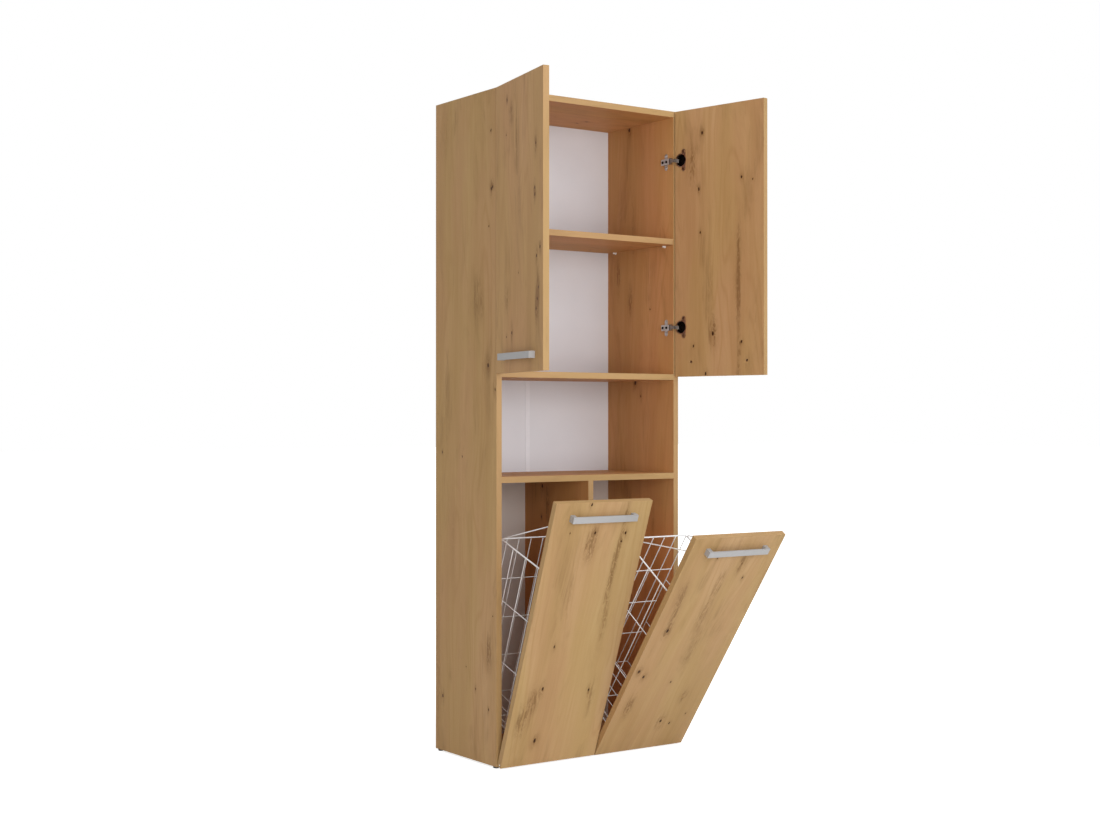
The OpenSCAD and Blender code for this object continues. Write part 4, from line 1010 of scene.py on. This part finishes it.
def basket(word, side):
    """All wires of one basket, drawn in the frame of its front and set into
    its place: rim, stays, four walls and floor, with a bead on each weld."""
    place = hamper_place(side, side * BAY_MID)
    body = word + "_hamper"

    def wires(title, part, rods, loops=(), beads=()):
        """One piece of straight rods, closed loops and weld beads."""
        meshes = []
        for path, radius, closed in [(*r, False) for r in rods] + [(*loop, True) for loop in loops]:
            run = path[1] - path[0]
            ref = (0, 0, 1) if abs(run[2]) < 0.5 * np.linalg.norm(run) else (1, 0, 0)
            meshes.append(tube(path, radius, ref, closed))
        meshes += [bead(centre, BEAD_R) for centre in beads]
        meshes = [(place.world(points), faces) for points, faces in meshes]
        node = f"{word}_basket_{part}"
        piled(f"{word}_{title}", body, "white_wire", WIRE, node, meshes)

    def rod(a, b):
        """A straight wire of the mesh between two points."""
        return np.array([a, b], float), MESH_R

    wires("rim_wire", "rim", [], loops=[(loop_path(RIM_H), RIM_R)])

    for wall, which in SIDES.items():
        x, xr = which * SIDE_X, which * (SIDE_X - CROSS)
        rods = [rod((x, y, WALL_Z0), (x, y, WALL_Z1)) for y in SIDE_UPRIGHTS]
        y0, y1 = RIM_S + CROSS + MESH_R, REAR_Y - CROSS - MESH_R
        rods += [rod((xr, y0, z), (xr, y1, z)) for z in levels(2)]
        joints = [((x + xr) / 2, y, z) for y in SIDE_UPRIGHTS for z in levels(2)]
        wires(wall + "_wall_wires", wall + "_side", rods, beads=joints)

    for wall, y, inward, count in (("rear", REAR_Y, -1, 3), ("front", RIM_S, 1, 2)):
        columns = UPRIGHTS + [-SIDE_X, SIDE_X]
        rods = [rod((x, y, WALL_Z0), (x, y, WALL_Z1)) for x in columns]
        inner = y + inward * CROSS
        rods += [rod((-SIDE_X, inner, z), (SIDE_X, inner, z)) for z in levels(count)]
        joints = [(x, (y + inner) / 2, z) for x in columns for z in levels(count)]
        wires(wall + "_wall_wires", wall, rods, beads=joints)

    low, middle, reach = FLOOR_H - CROSS, RIM_S + BASKET_D / 2, HALF_W - MESH_R + WELD
    rods = [rod((x, RIM_S - MESH_R, low), (x, REAR_S + MESH_R, low)) for x in UPRIGHTS]
    rods.append(rod((-reach, middle, FLOOR_H), (reach, middle, FLOOR_H)))
    joints = [(x, y, FLOOR_H - CROSS / 2) for x in UPRIGHTS for y in (RIM_S, middle, REAR_S)]
    wires("floor_wires", "floor", rods, loops=[(loop_path(FLOOR_H), MESH_R)], beads=joints)

    cad_piece(word + "_stay_wires", word + "_basket_stays", body, "white_wire", WIRE, FINE_EASE)


for word, side in SIDES.items():
    basket(word, side)


# ---- stage
def seen(t):
    """1 for rays that come from the camera, a reflection or glass, else 0."""
    rays = t.add("ShaderNodeLightPath").outputs
    bent = t.plus(rays["Is Glossy Ray"], rays["Is Transmission Ray"])
    return t.math("MINIMUM", t.plus(rays["Is Camera Ray"], bent), 1.0)


# Name, place, target, size, power and colour
LAMPS = (
    ("front lamp", (0.9, -4.6, 2.4), (0, 0, 0.8), 3.2, 50.0, (0.88, 1.0, 1.14)),
    ("fill lamp", (-1.7, -4.4, 1.1), (0, 0, 0.9), 2.2, 95.0, (1.01, 1.0, 1.0)),
    ("top lamp", (0.3, -1.2, 4.2), (0, 0, 0.6), 2.6, 40.0, (0.94, 1.0, 1.08)),
)
# Half the floor's width; the distances between which it clears, and its glow
FLOOR_HALF, FLOOR_CLEARS = 40, (0.3, 1.5, 0.74, 1.0)


def studio():
    """Pale floor, soft lamps and a plain world. Where the camera looks past
    the object it sees white, and the floor keeps the object's shadow."""
    floor_mesh = bpy.data.meshes.new("floor")
    corners = [(x * FLOOR_HALF, y * FLOOR_HALF, 0) for x, y in ((-1, -1), (1, -1), (1, 1), (-1, 1))]
    floor_mesh.from_pydata(corners, [], [(0, 1, 2, 3)])
    floor = new_object("floor", floor_mesh)
    material = bpy.data.materials.new("pale floor")
    material.use_nodes = True
    t = Tree(material.node_tree)
    t.tree.nodes.clear()
    x, y, _ = t.parts(t.surface_place())
    reach = t.math("SQRT", t.plus(t.times(x, x), t.times(y, y)))
    strength = t.times(seen(t), t.range(reach, *FLOOR_CLEARS))
    matt = t.add("ShaderNodeBsdfDiffuse", {"Color": (0.82, 0.82, 0.82, 1.0)}).outputs[0]
    lift = t.add("ShaderNodeEmission", {"Strength": strength}).outputs[0]
    both = t.add("ShaderNodeAddShader", {0: matt, 1: lift}).outputs[0]
    t.put(t.add("ShaderNodeOutputMaterial").inputs["Surface"], both)
    floor_mesh.materials.append(material)

    world = bpy.data.worlds.new("studio")
    bpy.context.scene.world = world
    world.use_nodes = True
    t = Tree(world.node_tree)
    t.tree.nodes.clear()
    strength = t.plus(0.50, t.times(seen(t), 0.50))
    sky = t.add("ShaderNodeBackground", {"Color": WHITE, "Strength": strength}).outputs[0]
    t.put(t.add("ShaderNodeOutputWorld").inputs["Surface"], sky)

    for name, where, target, size, power, colour in LAMPS:
        data = bpy.data.lights.new(name, "AREA")
        data.size, data.energy, data.color = size, power, colour
        lamp = new_object(name, data)
        lamp.location = where
        direction = np.array(target) - np.array(where)
        tip = math.acos(-direction[2] / np.linalg.norm(direction))
        lamp.rotation_euler = (tip, 0.0, math.atan2(direction[1], direction[0]) - math.pi / 2)


# The photograph's view, fitted to the carcass: its place, its turns in degrees,
# and the millimetres of lens and sensor
VIEW_PLACE = (-2.6002, -3.6703, 0.8967)
VIEW_RISE, VIEW_TURN = 0.2269, -35.026
LENS, SENSOR = 53.756, 36.0


def camera():
    """A camera at the view's place, raised and turned by its angles."""
    data = bpy.data.cameras.new("view")
    data.sensor_fit = "HORIZONTAL"
    data.sensor_width, data.lens, data.clip_end = SENSOR, LENS, 200.0
    view = new_object("view", data)
    view.location = VIEW_PLACE
    view.rotation_euler = (math.radians(90 + VIEW_RISE), 0.0, math.radians(VIEW_TURN))
    bpy.context.scene.camera = view


studio()
camera()
bpy.context.scene.view_settings.view_transform = "Standard"
